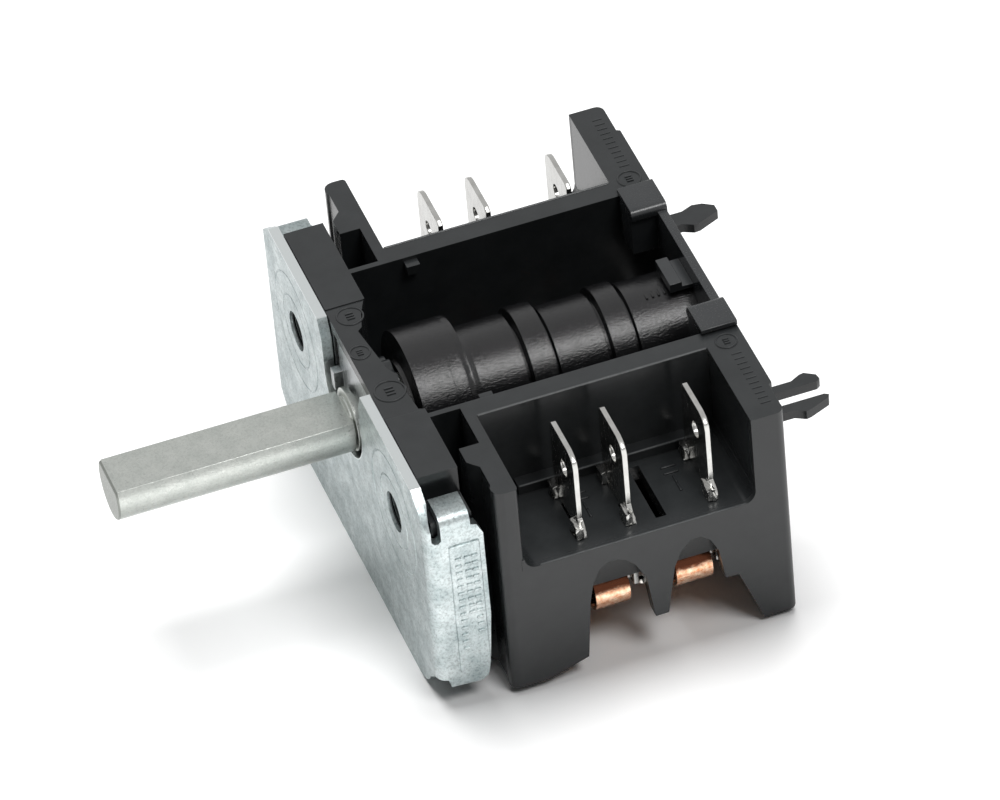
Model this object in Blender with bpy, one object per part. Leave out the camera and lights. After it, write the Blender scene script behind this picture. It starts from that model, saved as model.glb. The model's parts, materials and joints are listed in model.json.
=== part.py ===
"""Oven selector switch, drawn in millimetres and written out in metres.

Drawing frame: the shaft axis is x = z = 0, the front face of the mounting bracket is y = 0,
+Y runs to the rear, +Z to the open top. Everything is moved at the end so that the
assembly stands on z = 0 with the middle of its length at the origin.

The feature that takes the most skill is the housing: one moulding with a frame for the
shaft parts, a trough with slotted floor, six terminal pockets and arched side walls.
"""

import math

import bmesh
import bpy

MM = 0.001

# Whole switch
TIP_Y = -23.3
PEG_TIP_Y = 42.6
TOP_Z = 7.8
PLATE_BOTTOM_Z = -17.3
BOTTOM_Z = -16.8
OFFSET = (0.0, -(TIP_Y + PEG_TIP_Y) / 2.0, -PLATE_BOTTOM_Z)
SEAT = 0.1
GAP = 0.3
RUNNING = 0.06

# Shaft
SHAFT_R = 3.0
FLAT_Z = 1.6
FLAT_END_Y = 0.1
GROOVE_RING_R = 2.3
COLLAR_R = 3.1
COLLAR_Y = (0.35, 0.95)
NECK_R = 2.5
NECK_Y = (1.0, 2.2)
SHAFT_END_Y = 13.8

# Mounting bracket
SHEET = 1.0
BRACKET_X = 23.3
BEND_R = 1.2
FLANGE_Y = 5.65
FIXING_X = 14.0
FIXING_R = 2.0
NOTCH_R = 5.25
NOTCH_Z = 2.0
NOTCH_CHAMFER = 0.9
CORNER_X = 20.3
TAB_X = 20.1
TAB_Y = (1.6, 4.5)
TAB_Z = 5.9

# Housing
FRAME_Y = (SHEET + SEAT, 5.05)
BLOCK_X = 19.0
LEDGE_X = 22.1
LEDGE_Z = TAB_Z - SHEET - SEAT
BRIDGE_Z = 6.6
TROUGH_X = 10.9
WALL_X = 13.1
SIDE_X = 24.3
SIDE_T = 1.5
POCKET_Y = (9.05, 31.8)
SHELF_Z = (-3.75, -2.1)
REAR_Y = 35.15
WALL_BASE_Z = -16.4
FLOOR_Z = (-9.0, -8.0)
FILLET = 1.2
REAR_CORNER_R = 0.8
POCKET_LEDGE = ((WALL_X - 0.3, 14.4), (12.0, 28.8), (SHELF_Z[1] - 0.3, -1.05))
HOLE_X = (11.5, 16.75)
HOLE_Y = (5.05, 8.0)
HOLE_BASE_Z = -6.0
PEG_X = 14.2
PEG_Z = -0.45

# Shaft retainer and detent
RETAINER_X = 4.6
RETAINER_Y = (1.3, 2.05)
RETAINER_Z = (-5.6, 6.3)
LUG = ((3.5, 4.5), (0.35, 1.5), (0.8, 2.9))
WHEEL_R = 4.8
WHEEL_DEPTH = 0.55
WHEEL_Y = (3.2, 5.3)
WHEEL_NOTCHES = 12
WHEEL_HOLE_R = WHEEL_R + 0.4
DETENT_Z = -(WHEEL_R + 1.5)
DETENT_T = 0.3
NOSE_GAP = 0.25

# Cam drum: each cam is (y start, y end, high radius, low radius, low arc start, low arc end)
CAMS = (
    (6.1, 11.5, 7.0, 6.0, 205.0, 325.0),
    (12.3, 16.85, 5.6, 4.9, 230.0, 290.0),
    (17.35, 19.65, 6.0, 5.0, 262.0, 345.0),
    (20.15, 24.95, 5.3, 4.8, 215.0, 285.0),
    (25.45, 27.65, 5.7, 4.8, 196.0, 274.0),
    (28.15, 33.4, 5.3, 4.9, 240.0, 330.0),
)
CAM_STEP = (5.62, 4.9, 230.0, 290.0)
RAMP = 12.0
GROOVE_R = 4.6
HUB_R = 4.2
DRUM_FRONT_Y = 5.6
SOCKET_FIT = 0.05
JOURNAL_R = 5.3
JOURNAL_Y = (33.5, 35.0)

# Rear cover
COVER_Y = (34.5, 35.4)
CLIP_X = (7.2, 10.6)
CLIP_Y = (31.9, 35.5)
CLIP_TOP_Z = 8.5

# Terminals and contacts, one side; the other side is the mirror image
TAB_T = 0.5
TAB_FRONT = 0.4
STAKE_T = 0.5
STAKE_X = ((14.85, 16.3), (20.9, 22.6))
ARM_Z = -8.6
BUS_Z = (-8.3, -7.7)
TAB_STATIONS = (15.65, 20.45, 28.6)
SPRING_STATIONS = ((16.2, 19.6, 17.75, 19.3, CAMS[2][2]), (24.2, 27.8, 25.8, 27.3, CAMS[4][2]))
PANEL_STATIONS = ((15.0, 21.3), (23.65, 28.2))
SLOT_Y = (22.5, 23.55)
STRIP = 0.35
LOWER_ARM_Z = -12.6
FOOT_Z = (-10.4, -9.8)
CONTACT_R = 1.3

SEGMENTS = 72


def clear_scene():
    """Take every object out of the scene that the script starts in."""
    for item in list(bpy.data.objects):
        bpy.data.objects.remove(item, do_unlink=True)


def make_object(name, bmesh_data):
    """Turn a closed bmesh in drawing millimetres into an object."""
    bmesh.ops.recalc_face_normals(bmesh_data, faces=bmesh_data.faces)
    mesh = bpy.data.meshes.new(name)
    bmesh_data.to_mesh(mesh)
    bmesh_data.free()
    item = bpy.data.objects.new(name, mesh)
    bpy.context.collection.objects.link(item)
    return item


def prism(outline, axis, low, high, name="blank"):
    """Extrude a flat outline along one axis between two positions."""
    places = {"x": lambda a, b, c: (c, a, b), "y": lambda a, b, c: (a, c, b), "z": lambda a, b, c: (a, b, c)}
    place = places[axis]
    work = bmesh.new()
    first = [work.verts.new(place(a, b, low)) for a, b in outline]
    last = [work.verts.new(place(a, b, high)) for a, b in outline]
    work.faces.new(first)
    work.faces.new(list(reversed(last)))
    count = len(outline)
    for index in range(count):
        after = (index + 1) % count
        work.faces.new((first[after], first[index], last[index], last[after]))
    return make_object(name, work)


def block(x, y, z, name="blank"):
    """Make a box between two limits on each axis."""
    outline = [(x[0], y[0]), (x[1], y[0]), (x[1], y[1]), (x[0], y[1])]
    return prism(outline, "z", z[0], z[1], name)


def stack(rings, angles, name="blank"):
    """Skin a pile of rings along Y; each ring is (y, function of the angle giving the radius)."""
    work = bmesh.new()
    loops = []
    for y, radius in rings:
        loop = []
        for angle in angles:
            r = radius(angle)
            loop.append(work.verts.new((r * math.cos(angle), y, r * math.sin(angle))))
        loops.append(loop)
    work.faces.new(loops[0])
    work.faces.new(list(reversed(loops[-1])))
    count = len(angles)
    for low, high in zip(loops, loops[1:]):
        for index in range(count):
            after = (index + 1) % count
            work.faces.new((low[index], low[after], high[after], high[index]))
    return make_object(name, work)


def ribbon(path, thickness, widths, name="blank"):
    """Bend a strip of sheet along an x-z path; widths gives the y limits at each point."""
    work = bmesh.new()
    sections = []
    for index, (x, z) in enumerate(path):
        before = path[max(index - 1, 0)]
        after = path[min(index + 1, len(path) - 1)]
        dx, dz = after[0] - before[0], after[1] - before[1]
        length = math.hypot(dx, dz)
        nx, nz = -dz / length * thickness / 2.0, dx / length * thickness / 2.0
        low, high = widths[index]
        corners = ((x + nx, low, z + nz), (x + nx, high, z + nz), (x - nx, high, z - nz), (x - nx, low, z - nz))
        sections.append([work.verts.new(corner) for corner in corners])
    work.faces.new(sections[0])
    work.faces.new(list(reversed(sections[-1])))
    for low, high in zip(sections, sections[1:]):
        for index in range(4):
            after = (index + 1) % 4
            work.faces.new((low[index], low[after], high[after], high[index]))
    return make_object(name, work)


def combine(target, others, operation):
    """Apply one exact boolean per helper object, then drop the helpers."""
    for other in others:
        modifier = target.modifiers.new("cut", "BOOLEAN")
        modifier.solver = "EXACT"
        modifier.operation = operation
        modifier.object = other
        graph = bpy.context.evaluated_depsgraph_get()
        result = bpy.data.meshes.new_from_object(target.evaluated_get(graph))
        target.modifiers.clear()
        target.data = result
        bpy.data.objects.remove(other, do_unlink=True)
    return target


def fuse(target, *others):
    """Join shapes into one closed body."""
    return combine(target, others, "UNION")


def cut(target, *others):
    """Take shapes away from a body."""
    return combine(target, others, "DIFFERENCE")


def arc(cx, cy, radius, start, end, steps):
    """Points on an arc given in degrees, both ends included."""
    span = math.radians(end - start)
    first = math.radians(start)
    angles = [first + span * step / steps for step in range(steps + 1)]
    return [(cx + radius * math.cos(a), cy + radius * math.sin(a)) for a in angles]


def mirrored(outline, side):
    """Mirror an outline whose first value is x."""
    return [(side * a, b) for a, b in outline]


def span(side, low, high):
    """Give x limits on one side of the switch in rising order."""
    return (low, high) if side > 0 else (-high, -low)


def ring_angles(extra=()):
    """Even angles round the circle, with some exact ones added."""
    even = [2.0 * math.pi * step / SEGMENTS for step in range(SEGMENTS)]
    close = math.pi / SEGMENTS / 3.0
    kept = [a for a in even if all(abs(a - e) > close for e in extra)]
    return sorted(kept + list(extra))


def round_profile(radius):
    """A plain circle for stack."""
    return lambda angle: radius


def flat_profile(radius, flat):
    """A circle cut by a flat on top, for stack."""
    def profile(angle):
        height = math.sin(angle)
        if height * radius > flat:
            return flat / height
        return radius
    return profile


def cylinder(radius, low, high, x=0.0, z=0.0, steps=48, name="blank", outside=False):
    """A round bar along Y; outside=True makes its flats touch the radius for a clear bore."""
    reach = radius / math.cos(math.pi / steps) if outside else radius
    outline = [(x + reach * math.cos(2 * math.pi * i / steps), z + reach * math.sin(2 * math.pi * i / steps))
               for i in range(steps)]
    return prism(outline, "y", low, high, name)


def shaft_shape():
    """The D-section rod with its collar and retaining neck."""
    corner = math.asin(FLAT_Z / SHAFT_R)
    angles = ring_angles((corner, math.pi - corner))
    full = flat_profile(SHAFT_R, FLAT_Z)
    rings = [
        (TIP_Y, flat_profile(SHAFT_R - 0.1, FLAT_Z - 0.25)),
        (TIP_Y + 0.1, flat_profile(SHAFT_R, FLAT_Z - 0.15)),
        (TIP_Y + 0.25, full),
        (FLAT_END_Y, full),
        (FLAT_END_Y + 0.05, round_profile(GROOVE_RING_R)),
        (COLLAR_Y[0] - 0.05, round_profile(GROOVE_RING_R)),
        (COLLAR_Y[0], round_profile(COLLAR_R)),
        (COLLAR_Y[1], round_profile(COLLAR_R)),
        (NECK_Y[0], round_profile(NECK_R)),
        (NECK_Y[1], round_profile(NECK_R)),
        (NECK_Y[1] + 0.05, round_profile(SHAFT_R)),
        (NECK_Y[1] + 0.6, round_profile(SHAFT_R)),
        (NECK_Y[1] + 0.7, full),
        (SHAFT_END_Y - 0.4, full),
        (SHAFT_END_Y, flat_profile(SHAFT_R - 0.4, FLAT_Z - 0.4)),
    ]
    return stack(rings, angles, "shaft")


def socket_cutter(low, high):
    """The D-shaped hole in the pieces that the shaft drives."""
    reach = SHAFT_R + SOCKET_FIT
    flat = FLAT_Z + SOCKET_FIT
    corner = math.asin(flat / reach)
    angles = ring_angles((corner, math.pi - corner))
    profile = flat_profile(reach, flat)
    return stack([(low, profile), (high, profile)], angles)


def detent_wheel_shape():
    """The wheel with rounded notches that gives the switch its positions."""
    angles = [2.0 * math.pi * step / (WHEEL_NOTCHES * 8) for step in range(WHEEL_NOTCHES * 8)]

    def profile(angle):
        wave = 0.5 + 0.5 * math.cos(WHEEL_NOTCHES * (angle + math.pi / 2.0))
        return WHEEL_R - WHEEL_DEPTH * wave ** 1.5

    wheel = stack([(WHEEL_Y[0], profile), (WHEEL_Y[1], profile)], angles, "detent_wheel")
    return cut(wheel, socket_cutter(WHEEL_Y[0] - 1.0, WHEEL_Y[1] + 1.0))


def cam_profile(high, low, start, end):
    """Radius round one cam: high all over but for one low arc with smooth ramps."""
    def profile(angle):
        degrees = math.degrees(angle) % 360.0
        if degrees <= start - RAMP or degrees >= end + RAMP:
            return high
        if start <= degrees <= end:
            return low
        away = start - degrees if degrees < start else degrees - end
        share = 0.5 - 0.5 * math.cos(math.pi * away / RAMP)
        return low + (high - low) * share
    return profile


def cam_drum_shape():
    """The stepped drum: hub, six cams parted by grooves, rear journal."""
    rings = [(DRUM_FRONT_Y, round_profile(HUB_R)), (CAMS[0][0] - 0.05, round_profile(HUB_R))]
    for index, (low_y, high_y, high, low, start, end) in enumerate(CAMS):
        profile = cam_profile(high, low, start, end)
        if index:
            rings.append((CAMS[index - 1][1] + 0.05, round_profile(GROOVE_R)))
            rings.append((low_y - 0.05, round_profile(GROOVE_R)))
        if index == 1:
            step = cam_profile(*CAM_STEP)
            rings = rings[:-2] + [(CAMS[0][1] + 0.05, step), (low_y - 0.05, step)]
        rings.append((low_y, profile))
        rings.append((high_y, profile))
    rings.append((JOURNAL_Y[0], round_profile(JOURNAL_R)))
    rings.append((JOURNAL_Y[1] - 0.2, round_profile(JOURNAL_R)))
    rings.append((JOURNAL_Y[1], round_profile(JOURNAL_R - 0.2)))
    drum = stack(rings, ring_angles(), "cam_drum")
    return cut(drum, socket_cutter(DRUM_FRONT_Y - 1.0, SHAFT_END_Y + GAP))


def notch_outline():
    """The open-topped U notch of the bracket, wider at its mouth."""
    low = arc(0.0, NOTCH_Z, NOTCH_R, 180.0, 360.0, 36)
    mouth = NOTCH_R + NOTCH_CHAMFER
    right = [(NOTCH_R, TOP_Z - 2.0), (mouth, TOP_Z), (mouth, TOP_Z + 1.0)]
    left = [(-x, z) for x, z in reversed(right)]
    return low + right + left


def bracket_shape():
    """The folded sheet: plate, side flanges, clinched top tabs, holes and notch."""
    inner = BEND_R - SHEET
    outer_right = arc(BRACKET_X - BEND_R, BEND_R, BEND_R, -90.0, 0.0, 6)
    inner_right = arc(BRACKET_X - BEND_R, BEND_R, inner, 0.0, -90.0, 6)
    right = outer_right + [(BRACKET_X, FLANGE_Y), (BRACKET_X - SHEET, FLANGE_Y)] + inner_right
    left = [(-x, y) for x, y in reversed(right)]
    bracket = prism(right + left, "z", PLATE_BOTTOM_Z, TOP_Z, "mounting_bracket")
    cutters = []
    for side in (1, -1):
        top = [(CORNER_X, TOP_Z), (CORNER_X, TOP_Z + 1.0), (26.0, TOP_Z + 1.0), (26.0, 4.6), (23.0, 4.6),
               (22.3, 6.3)]
        cutters.append(prism(mirrored(top, side), "y", -1.0, SHEET + 0.2))
        flange = [
            (TAB_Y[0] - 0.9, 4.6), (TAB_Y[0] - 0.9, 3.4), (TAB_Y[0] - 0.6, 3.1), (TAB_Y[0] - 0.3, 3.1),
            (TAB_Y[0], 3.4), (TAB_Y[0], 4.7), (TAB_Y[1], 4.7), (TAB_Y[1], 4.4), (5.1, 4.2), (FLANGE_Y, 3.0),
            (7.0, 3.0), (7.0, 9.0), (TAB_Y[0] - 0.9, 9.0),
        ]
        cutters.append(prism(flange, "x", *span(side, 21.6, 25.0)))
        foot = [(-0.5, -13.8), (1.0, -13.8), (1.1, -14.7), (4.2, -14.9), (4.8, -14.5), (5.0, -13.9),
                (5.25, -12.2), (FLANGE_Y, -7.0), (7.0, -7.0), (7.0, -18.0), (-0.5, -18.0)]
        cutters.append(prism(foot, "x", *span(side, 21.9, 25.0)))
        corner = [(16.6, PLATE_BOTTOM_Z - 1.0), (16.6, PLATE_BOTTOM_Z)]
        corner += arc(17.0, -13.1, 4.2, -85.0, -28.0, 6)
        corner += [(22.0, -14.0), (26.0, -14.0), (26.0, PLATE_BOTTOM_Z - 1.0)]
        cutters.append(prism(mirrored(corner, side), "y", -1.0, SHEET + 0.2))
        cutters.append(cylinder(FIXING_R, -1.0, SHEET + 1.0, x=side * FIXING_X, outside=True))
    cutters.append(prism(notch_outline(), "y", -1.0, SHEET + 1.0))
    cut(bracket, *cutters)
    for side in (1, -1):
        bend = arc(BRACKET_X - BEND_R, TAB_Z - BEND_R, BEND_R, 0.0, 90.0, 6)
        under = arc(BRACKET_X - BEND_R, TAB_Z - BEND_R, inner, 90.0, 0.0, 3)
        hook = [(BRACKET_X, 4.0)] + bend + [(TAB_X, TAB_Z), (TAB_X, TAB_Z - SHEET)] + under
        hook += [(BRACKET_X - SHEET, 4.0)]
        fuse(bracket, prism(mirrored(hook, side), "y", *TAB_Y))
    return bracket


def side_profile():
    """Lower outline of the housing's side wall in y and z, with two arches."""
    return [
        (7.9, SHELF_Z[1]), (7.9, WALL_BASE_Z), (10.5, WALL_BASE_Z + 0.1), (14.4, -15.0), (15.0, -8.4), (15.4, -6.2),
        (16.1, -4.8), (16.9, -4.2), (17.8, -4.1), (18.7, -4.5), (19.6, -5.4), (20.6, -7.4), (21.2, -12.5),
        (22.5, -12.5), (23.4, -7.2), (24.1, -5.55), (25.2, -4.4), (26.2, -4.4), (27.1, -5.2), (27.8, -6.7),
        (28.3, -10.3), (29.6, -10.4), (31.8, BOTTOM_Z + 0.2), (REAR_Y - REAR_CORNER_R, BOTTOM_Z + 0.2),
        (REAR_Y - REAR_CORNER_R, SHELF_Z[1]),
    ]


def peg(side):
    """Snap peg on the rear face: two prongs on the near side, one arrow on the far side."""
    low = REAR_Y - 0.4
    z = (PEG_Z - 0.5, PEG_Z + 0.5)
    if side > 0:
        inner = [
            (PEG_X - 0.95, low), (PEG_X - 0.95, PEG_TIP_Y - 0.4), (PEG_X - 1.25, PEG_TIP_Y),
            (PEG_X - 1.9, PEG_TIP_Y - 0.1), (PEG_X - 2.6, 41.5), (PEG_X - 2.5, 41.0), (PEG_X - 1.95, 40.0),
            (PEG_X - 1.95, low),
        ]
        outer = [
            (PEG_X + 0.95, low), (PEG_X + 1.95, low), (PEG_X + 2.0, 38.8), (PEG_X + 2.6, 39.8),
            (PEG_X + 2.5, 40.3), (PEG_X + 1.6, PEG_TIP_Y - 0.2), (PEG_X + 1.2, PEG_TIP_Y),
            (PEG_X + 0.95, PEG_TIP_Y - 0.4),
        ]
        return [prism(inner, "z", *z), prism(outer, "z", *z)]
    x = -PEG_X
    arrow = [
        (x + 0.9, low), (x + 0.9, 38.8), (x + 1.45, 39.8), (x + 1.4, 40.4), (x + 0.4, PEG_TIP_Y),
        (x - 0.5, PEG_TIP_Y), (x - 1.2, 41.6), (x - 1.4, 40.6), (x - 0.9, 39.4), (x - 0.9, low),
    ]
    return [prism(arrow, "z", *z)]


def finger_outline():
    """Top outline of one end wall: stepped front face and rounded outer corners."""
    front = [(16.8, 6.0), (18.8, 6.0), (19.3, 6.4), (19.9, 6.95), (22.7, 6.95), (23.0, 6.75)]
    outer = arc(SIDE_X - 1.0, 7.75, 1.0, -90.0, 0.0, 4)
    rear = arc(SIDE_X - 0.4, POCKET_Y[0] - 0.4, 0.4, 0.0, 90.0, 3)
    return front + outer + rear + [(16.8, POCKET_Y[0])]


def panel_outline():
    """Cross-section of the sloping wall that closes the top of an arch."""
    return [(SIDE_X - 0.35, -3.9), (SIDE_X - 1.6, -8.0), (SIDE_X - 2.2, -8.0), (SIDE_X - 1.3, -3.5)]


def housing_shape():
    """One moulding: front frame, trough, pockets, arched side walls and rear pegs."""
    half = [(16.4, BOTTOM_Z)] + arc(17.0, -12.8, 3.7, -80.0, -10.0, 6)
    half += [(LEDGE_X, -11.6), (LEDGE_X, LEDGE_Z), (BLOCK_X, LEDGE_Z), (BLOCK_X, TOP_Z)]
    frame = half + [(-x, z) for x, z in reversed(half)]
    body = prism(frame, "y", FRAME_Y[0], FRAME_Y[1], "housing")
    for side in (1, -1):
        wall = block(span(side, TROUGH_X, WALL_X), (FRAME_Y[1] - 0.5, REAR_Y), (FLOOR_Z[0], TOP_Z))
        root = block(span(side, TROUGH_X, 17.4), (FRAME_Y[1] - 0.5, POCKET_Y[0]), (BOTTOM_Z, TOP_Z))
        end_wall = prism(mirrored(finger_outline(), side), "z", WALL_BASE_Z, TOP_Z)
        shelf = block(span(side, WALL_X - 0.4, SIDE_X), (POCKET_Y[0] - 0.4, POCKET_Y[1] + 0.4), SHELF_Z)
        outer = prism(side_profile(), "x", *span(side, SIDE_X - SIDE_T, SIDE_X))
        rear = [(TROUGH_X, POCKET_Y[1]), (SIDE_X, POCKET_Y[1])]
        rear += arc(SIDE_X - REAR_CORNER_R, REAR_Y - REAR_CORNER_R, REAR_CORNER_R, 0.0, 90.0, 4)
        rear += [(20.2, REAR_Y), (20.0, REAR_Y + 0.35), (TROUGH_X, REAR_Y + 0.35)]
        rear_wall = prism(mirrored(rear, side), "z", BOTTOM_Z + 0.2, TOP_Z)
        fillets = []
        for wall_y, turn in ((POCKET_Y[0] + 0.02, 1.0), (POCKET_Y[1] - 0.02, -1.0)):
            curve = arc(0.0, 0.0, FILLET, 180.0, 270.0, 5)
            outline = [(wall_y + turn * (FILLET + a), SHELF_Z[1] + FILLET + b) for a, b in curve]
            outline += [(wall_y - turn * 0.3, SHELF_Z[1] - 0.3), (wall_y - turn * 0.3, SHELF_Z[1] + FILLET)]
            fillets.append(prism(outline, "x", *span(side, WALL_X - 0.2, SIDE_X)))
        panels = [prism(mirrored(panel_outline(), side), "y", *limits) for limits in PANEL_STATIONS]
        ledge = block(span(side, *POCKET_LEDGE[0]), *POCKET_LEDGE[1:])
        nub = block(span(side, 9.9, TROUGH_X + 0.4), (10.3, 11.6), (6.4, 7.4))
        rib = block(span(side, WALL_X - 0.4, SIDE_X - 0.4), (21.35, 22.35), (-9.6, SHELF_Z[0] + 0.4))
        fuse(body, wall, root, end_wall, shelf, outer, rear_wall, ledge, nub, rib, *fillets, *panels, *peg(side))
    floor = block((-TROUGH_X - 0.4, TROUGH_X + 0.4), (FRAME_Y[1] - 0.5, COVER_Y[0] - GAP), FLOOR_Z)
    fuse(body, floor)

    cutters = []
    bridge_rear = [
        (-7.4, 6.0), (-6.9, 4.9), (-5.2, 4.1), (-3.3, 3.5), (-2.9, 3.0), (3.2, 3.7), (4.2, 4.2), (6.2, 4.2),
        (9.8, 4.5), (10.4, 6.0),
    ]
    cutters.append(prism(bridge_rear, "z", 0.0, TOP_Z + 1.0))
    cutters.append(block((-6.9, 10.1), (0.0, 6.0), (TOP_Z - 0.12, TOP_Z + 1.0)))
    cutters.append(cylinder(WHEEL_HOLE_R, 0.0, 6.0, steps=64))
    recess = [(-RETAINER_X - SEAT, RETAINER_Z[0] - SEAT), (RETAINER_X + SEAT, RETAINER_Z[0] - SEAT),
              (RETAINER_X + SEAT, BRIDGE_Z), (-RETAINER_X - SEAT, BRIDGE_Z)]
    cutters.append(prism(recess, "y", 0.0, RETAINER_Y[1] + SEAT))
    cutters.append(block((-9.1, 9.1), (WHEEL_Y[0] - 0.3, 6.0), (DETENT_Z - 0.9, DETENT_Z + 0.45)))
    cutters.append(block((-3.0, 3.0), (WHEEL_Y[0] - 0.3, 6.0), (DETENT_Z - 0.9, -3.0)))
    for side in (1, -1):
        cutters.append(block(span(side, *HOLE_X), (HOLE_Y[0], HOLE_Y[1]), (HOLE_BASE_Z, TOP_Z + 1.0)))
        cutters.append(block(span(side, HOLE_X[1] - 0.1, 26.0), (FRAME_Y[1], 6.0), (BOTTOM_Z - 1.0, TOP_Z + 1.0)))
        cutters.append(block(span(side, 13.4, 18.9), (21.0, 22.8), (-10.0, -6.6)))
        cutters.append(block(span(side, 15.1, 22.6), SLOT_Y, (-6.0, 0.0)))
        for low, high, *_ in SPRING_STATIONS:
            cutters.append(block(span(side, 1.4, 8.4), (low - 0.3, high + 0.3), (-10.0, -7.0)))
        for index, station in enumerate(TAB_STATIONS):
            limits = (17.1, 19.3) if index == 0 else (19.4, 22.1)
            cutters.append(block(span(side, *limits), (station - TAB_FRONT - 0.1, station - TAB_FRONT + TAB_T + 0.1),
                                 (-5.0, 0.0)))
    cut(body, *cutters)
    return body


def retainer_shape():
    """Steel plate whose slot straddles the neck of the shaft, with two lugs in the bracket's notch."""
    half = NECK_R + RUNNING
    low, high = RETAINER_Z
    outline = [(-RETAINER_X, low), (-half, low)] + arc(0.0, 0.0, half / math.cos(math.pi / 48), 180.0, 0.0, 24)
    outline += [(half, low), (RETAINER_X, low), (RETAINER_X, high), (-RETAINER_X, high)]
    plate = prism(outline, "y", *RETAINER_Y, "shaft_retainer")
    return fuse(plate, *(block(span(side, *LUG[0]), LUG[1], LUG[2]) for side in (1, -1)))


def detent_spring_shape():
    """Leaf spring under the wheel with a formed nose in one notch."""
    nose_z = -(WHEEL_R - WHEEL_DEPTH) - NOSE_GAP - DETENT_T / 2.0
    path = [(-9.0, DETENT_Z), (-5.0, DETENT_Z), (-2.2, DETENT_Z + 0.1), (-1.1, DETENT_Z + 0.5),
            (-0.45, nose_z - 0.25), (0.0, nose_z), (0.45, nose_z - 0.25), (1.1, DETENT_Z + 0.5),
            (2.2, DETENT_Z + 0.1), (5.0, DETENT_Z), (9.0, DETENT_Z)]
    widths = [(WHEEL_Y[0] + 0.1, FRAME_Y[1] - 0.1)] * len(path)
    return ribbon(path, DETENT_T, widths, "detent_spring")


def cover_shape():
    """Rear cover: bearing plate, two clips over the trough walls, guide tongue."""
    base = FLOOR_Z[1] + SEAT
    side = TROUGH_X - GAP
    plate = [(-side, base), (side, base), (side, 4.0), (CLIP_X[0] + 0.4, 4.0), (CLIP_X[0] + 0.4, TOP_Z),
             (-CLIP_X[0] - 0.4, TOP_Z), (-CLIP_X[0] - 0.4, 4.0), (-side, 4.0)]
    cover = prism(plate, "y", *COVER_Y, "rear_cover")
    for mirror in (1, -1):
        clip = [(CLIP_X[0] + 0.5, 3.0), (CLIP_X[1], 3.0), (CLIP_X[1], TOP_Z + 0.15), (11.3, TOP_Z + 0.15),
                (11.3, CLIP_TOP_Z - 0.1), (11.1, CLIP_TOP_Z)]
        clip += arc(CLIP_X[0] + 0.7, CLIP_TOP_Z - 0.7, 0.7, 90.0, 180.0, 4)
        clip += [(CLIP_X[0], TOP_Z - 0.4), (CLIP_X[0] + 0.5, TOP_Z - 0.6)]
        fuse(cover, prism(mirrored(clip, mirror), "y", CLIP_Y[0], CLIP_Y[1]))
    tongue = block((-2.0, 2.0), (32.2, 33.4), (5.65, 6.65))
    link = block((-2.0, 2.0), (33.2, COVER_Y[0] + 0.3), (5.65, 6.1))
    fuse(cover, tongue, link)
    return cut(cover, cylinder(JOURNAL_R + RUNNING, 33.0, 36.0, steps=72, outside=True))


def terminal_shape(side, index, name):
    """Tab terminal: blade with a hole, shoulders on the shelf and a leg through it."""
    station = TAB_STATIONS[index]
    floor = SHELF_Z[1] + 0.05
    leg = (17.2, 19.2) if index == 0 else (19.5, 22.0)
    bottom = BUS_Z[1] + SEAT if index == 0 else FOOT_Z[1] - 0.2
    outline = [
        (15.3, 6.5), (15.3, -0.4), (16.0, -1.3), (16.9, floor), (leg[0], floor), (leg[0], bottom),
        (leg[1], bottom), (leg[1], floor), (22.6, floor), (22.3, -1.2), (21.6, -0.4), (21.6, 5.6),
        (21.35, 6.3), (20.8, 6.7), (20.1, 6.9), (15.8, 6.9),
    ]
    front = station - TAB_FRONT
    shape = prism(mirrored(outline, side), "y", front, front + TAB_T, name)
    cut(shape, cylinder(0.85, station - 2.0, station + 2.0, x=side * 18.7, z=3.6, steps=24))
    for limits in STAKE_X:
        fuse(shape, block(span(side, *limits), (front - STAKE_T, front + 0.2), (floor, -0.7)))
    if index:
        foot = block(span(side, 17.6, 20.5), (station - 3.5, front + TAB_T), FOOT_Z)
        fuse(shape, foot)
    return shape


def spring_path(nose_reach):
    """Path of a contact spring from its fixed upper arm round the bend to the cam nose."""
    nose_x = 3.4
    nose_z = -math.sqrt(nose_reach ** 2 - nose_x ** 2)
    bend = arc(20.05, (ARM_Z + LOWER_ARM_Z) / 2.0, (ARM_Z - LOWER_ARM_Z) / 2.0, 90.0, -90.0, 10)
    nose = [(12.0, LOWER_ARM_Z), (9.2, -12.3), (7.9, -11.4), (6.9, -9.6), (5.9, -7.7), (4.9, nose_z - 0.75),
            (4.2, nose_z - 0.25), (nose_x, nose_z), (2.7, nose_z - 0.35), (2.2, nose_z - 1.0)]
    return [(13.6, ARM_Z), (18.0, ARM_Z)] + bend + nose


def spring_shape(side, index, name):
    """Copper contact spring of one station."""
    low, high, nose_low, nose_high, cam_radius = SPRING_STATIONS[index]
    path = spring_path(cam_radius + 0.3 + STRIP / 2.0 + 0.05)
    widths = []
    for x, z in path:
        share = min(max((x - 7.0) / 2.0, 0.0), 1.0)
        widths.append((nose_low + (low - nose_low) * share, nose_high + (high - nose_high) * share))
    return ribbon(mirrored(path, side), STRIP, widths, name)


def contact_shape(side, index, fixed, name):
    """Silver contact: fixed under the terminal's foot or moving on the spring's lower arm."""
    low, high = SPRING_STATIONS[index][:2]
    y = (low + high) / 2.0 + 0.2
    x = side * 19.0
    outline = arc(x, y, CONTACT_R, 0.0, 345.0, 23)
    if fixed:
        limits = (FOOT_Z[0] - 0.75, FOOT_Z[0] - 0.05)
    else:
        top = LOWER_ARM_Z + STRIP / 2.0
        limits = (top + 0.08, top + 0.75)
    return prism(outline, "z", *limits, name)


def bus_shape(side, name):
    """Common strip that joins the fixed arms of both springs to the first terminal."""
    return block(span(side, 13.7, 18.6), (15.25, 27.6), BUS_Z, name)


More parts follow.
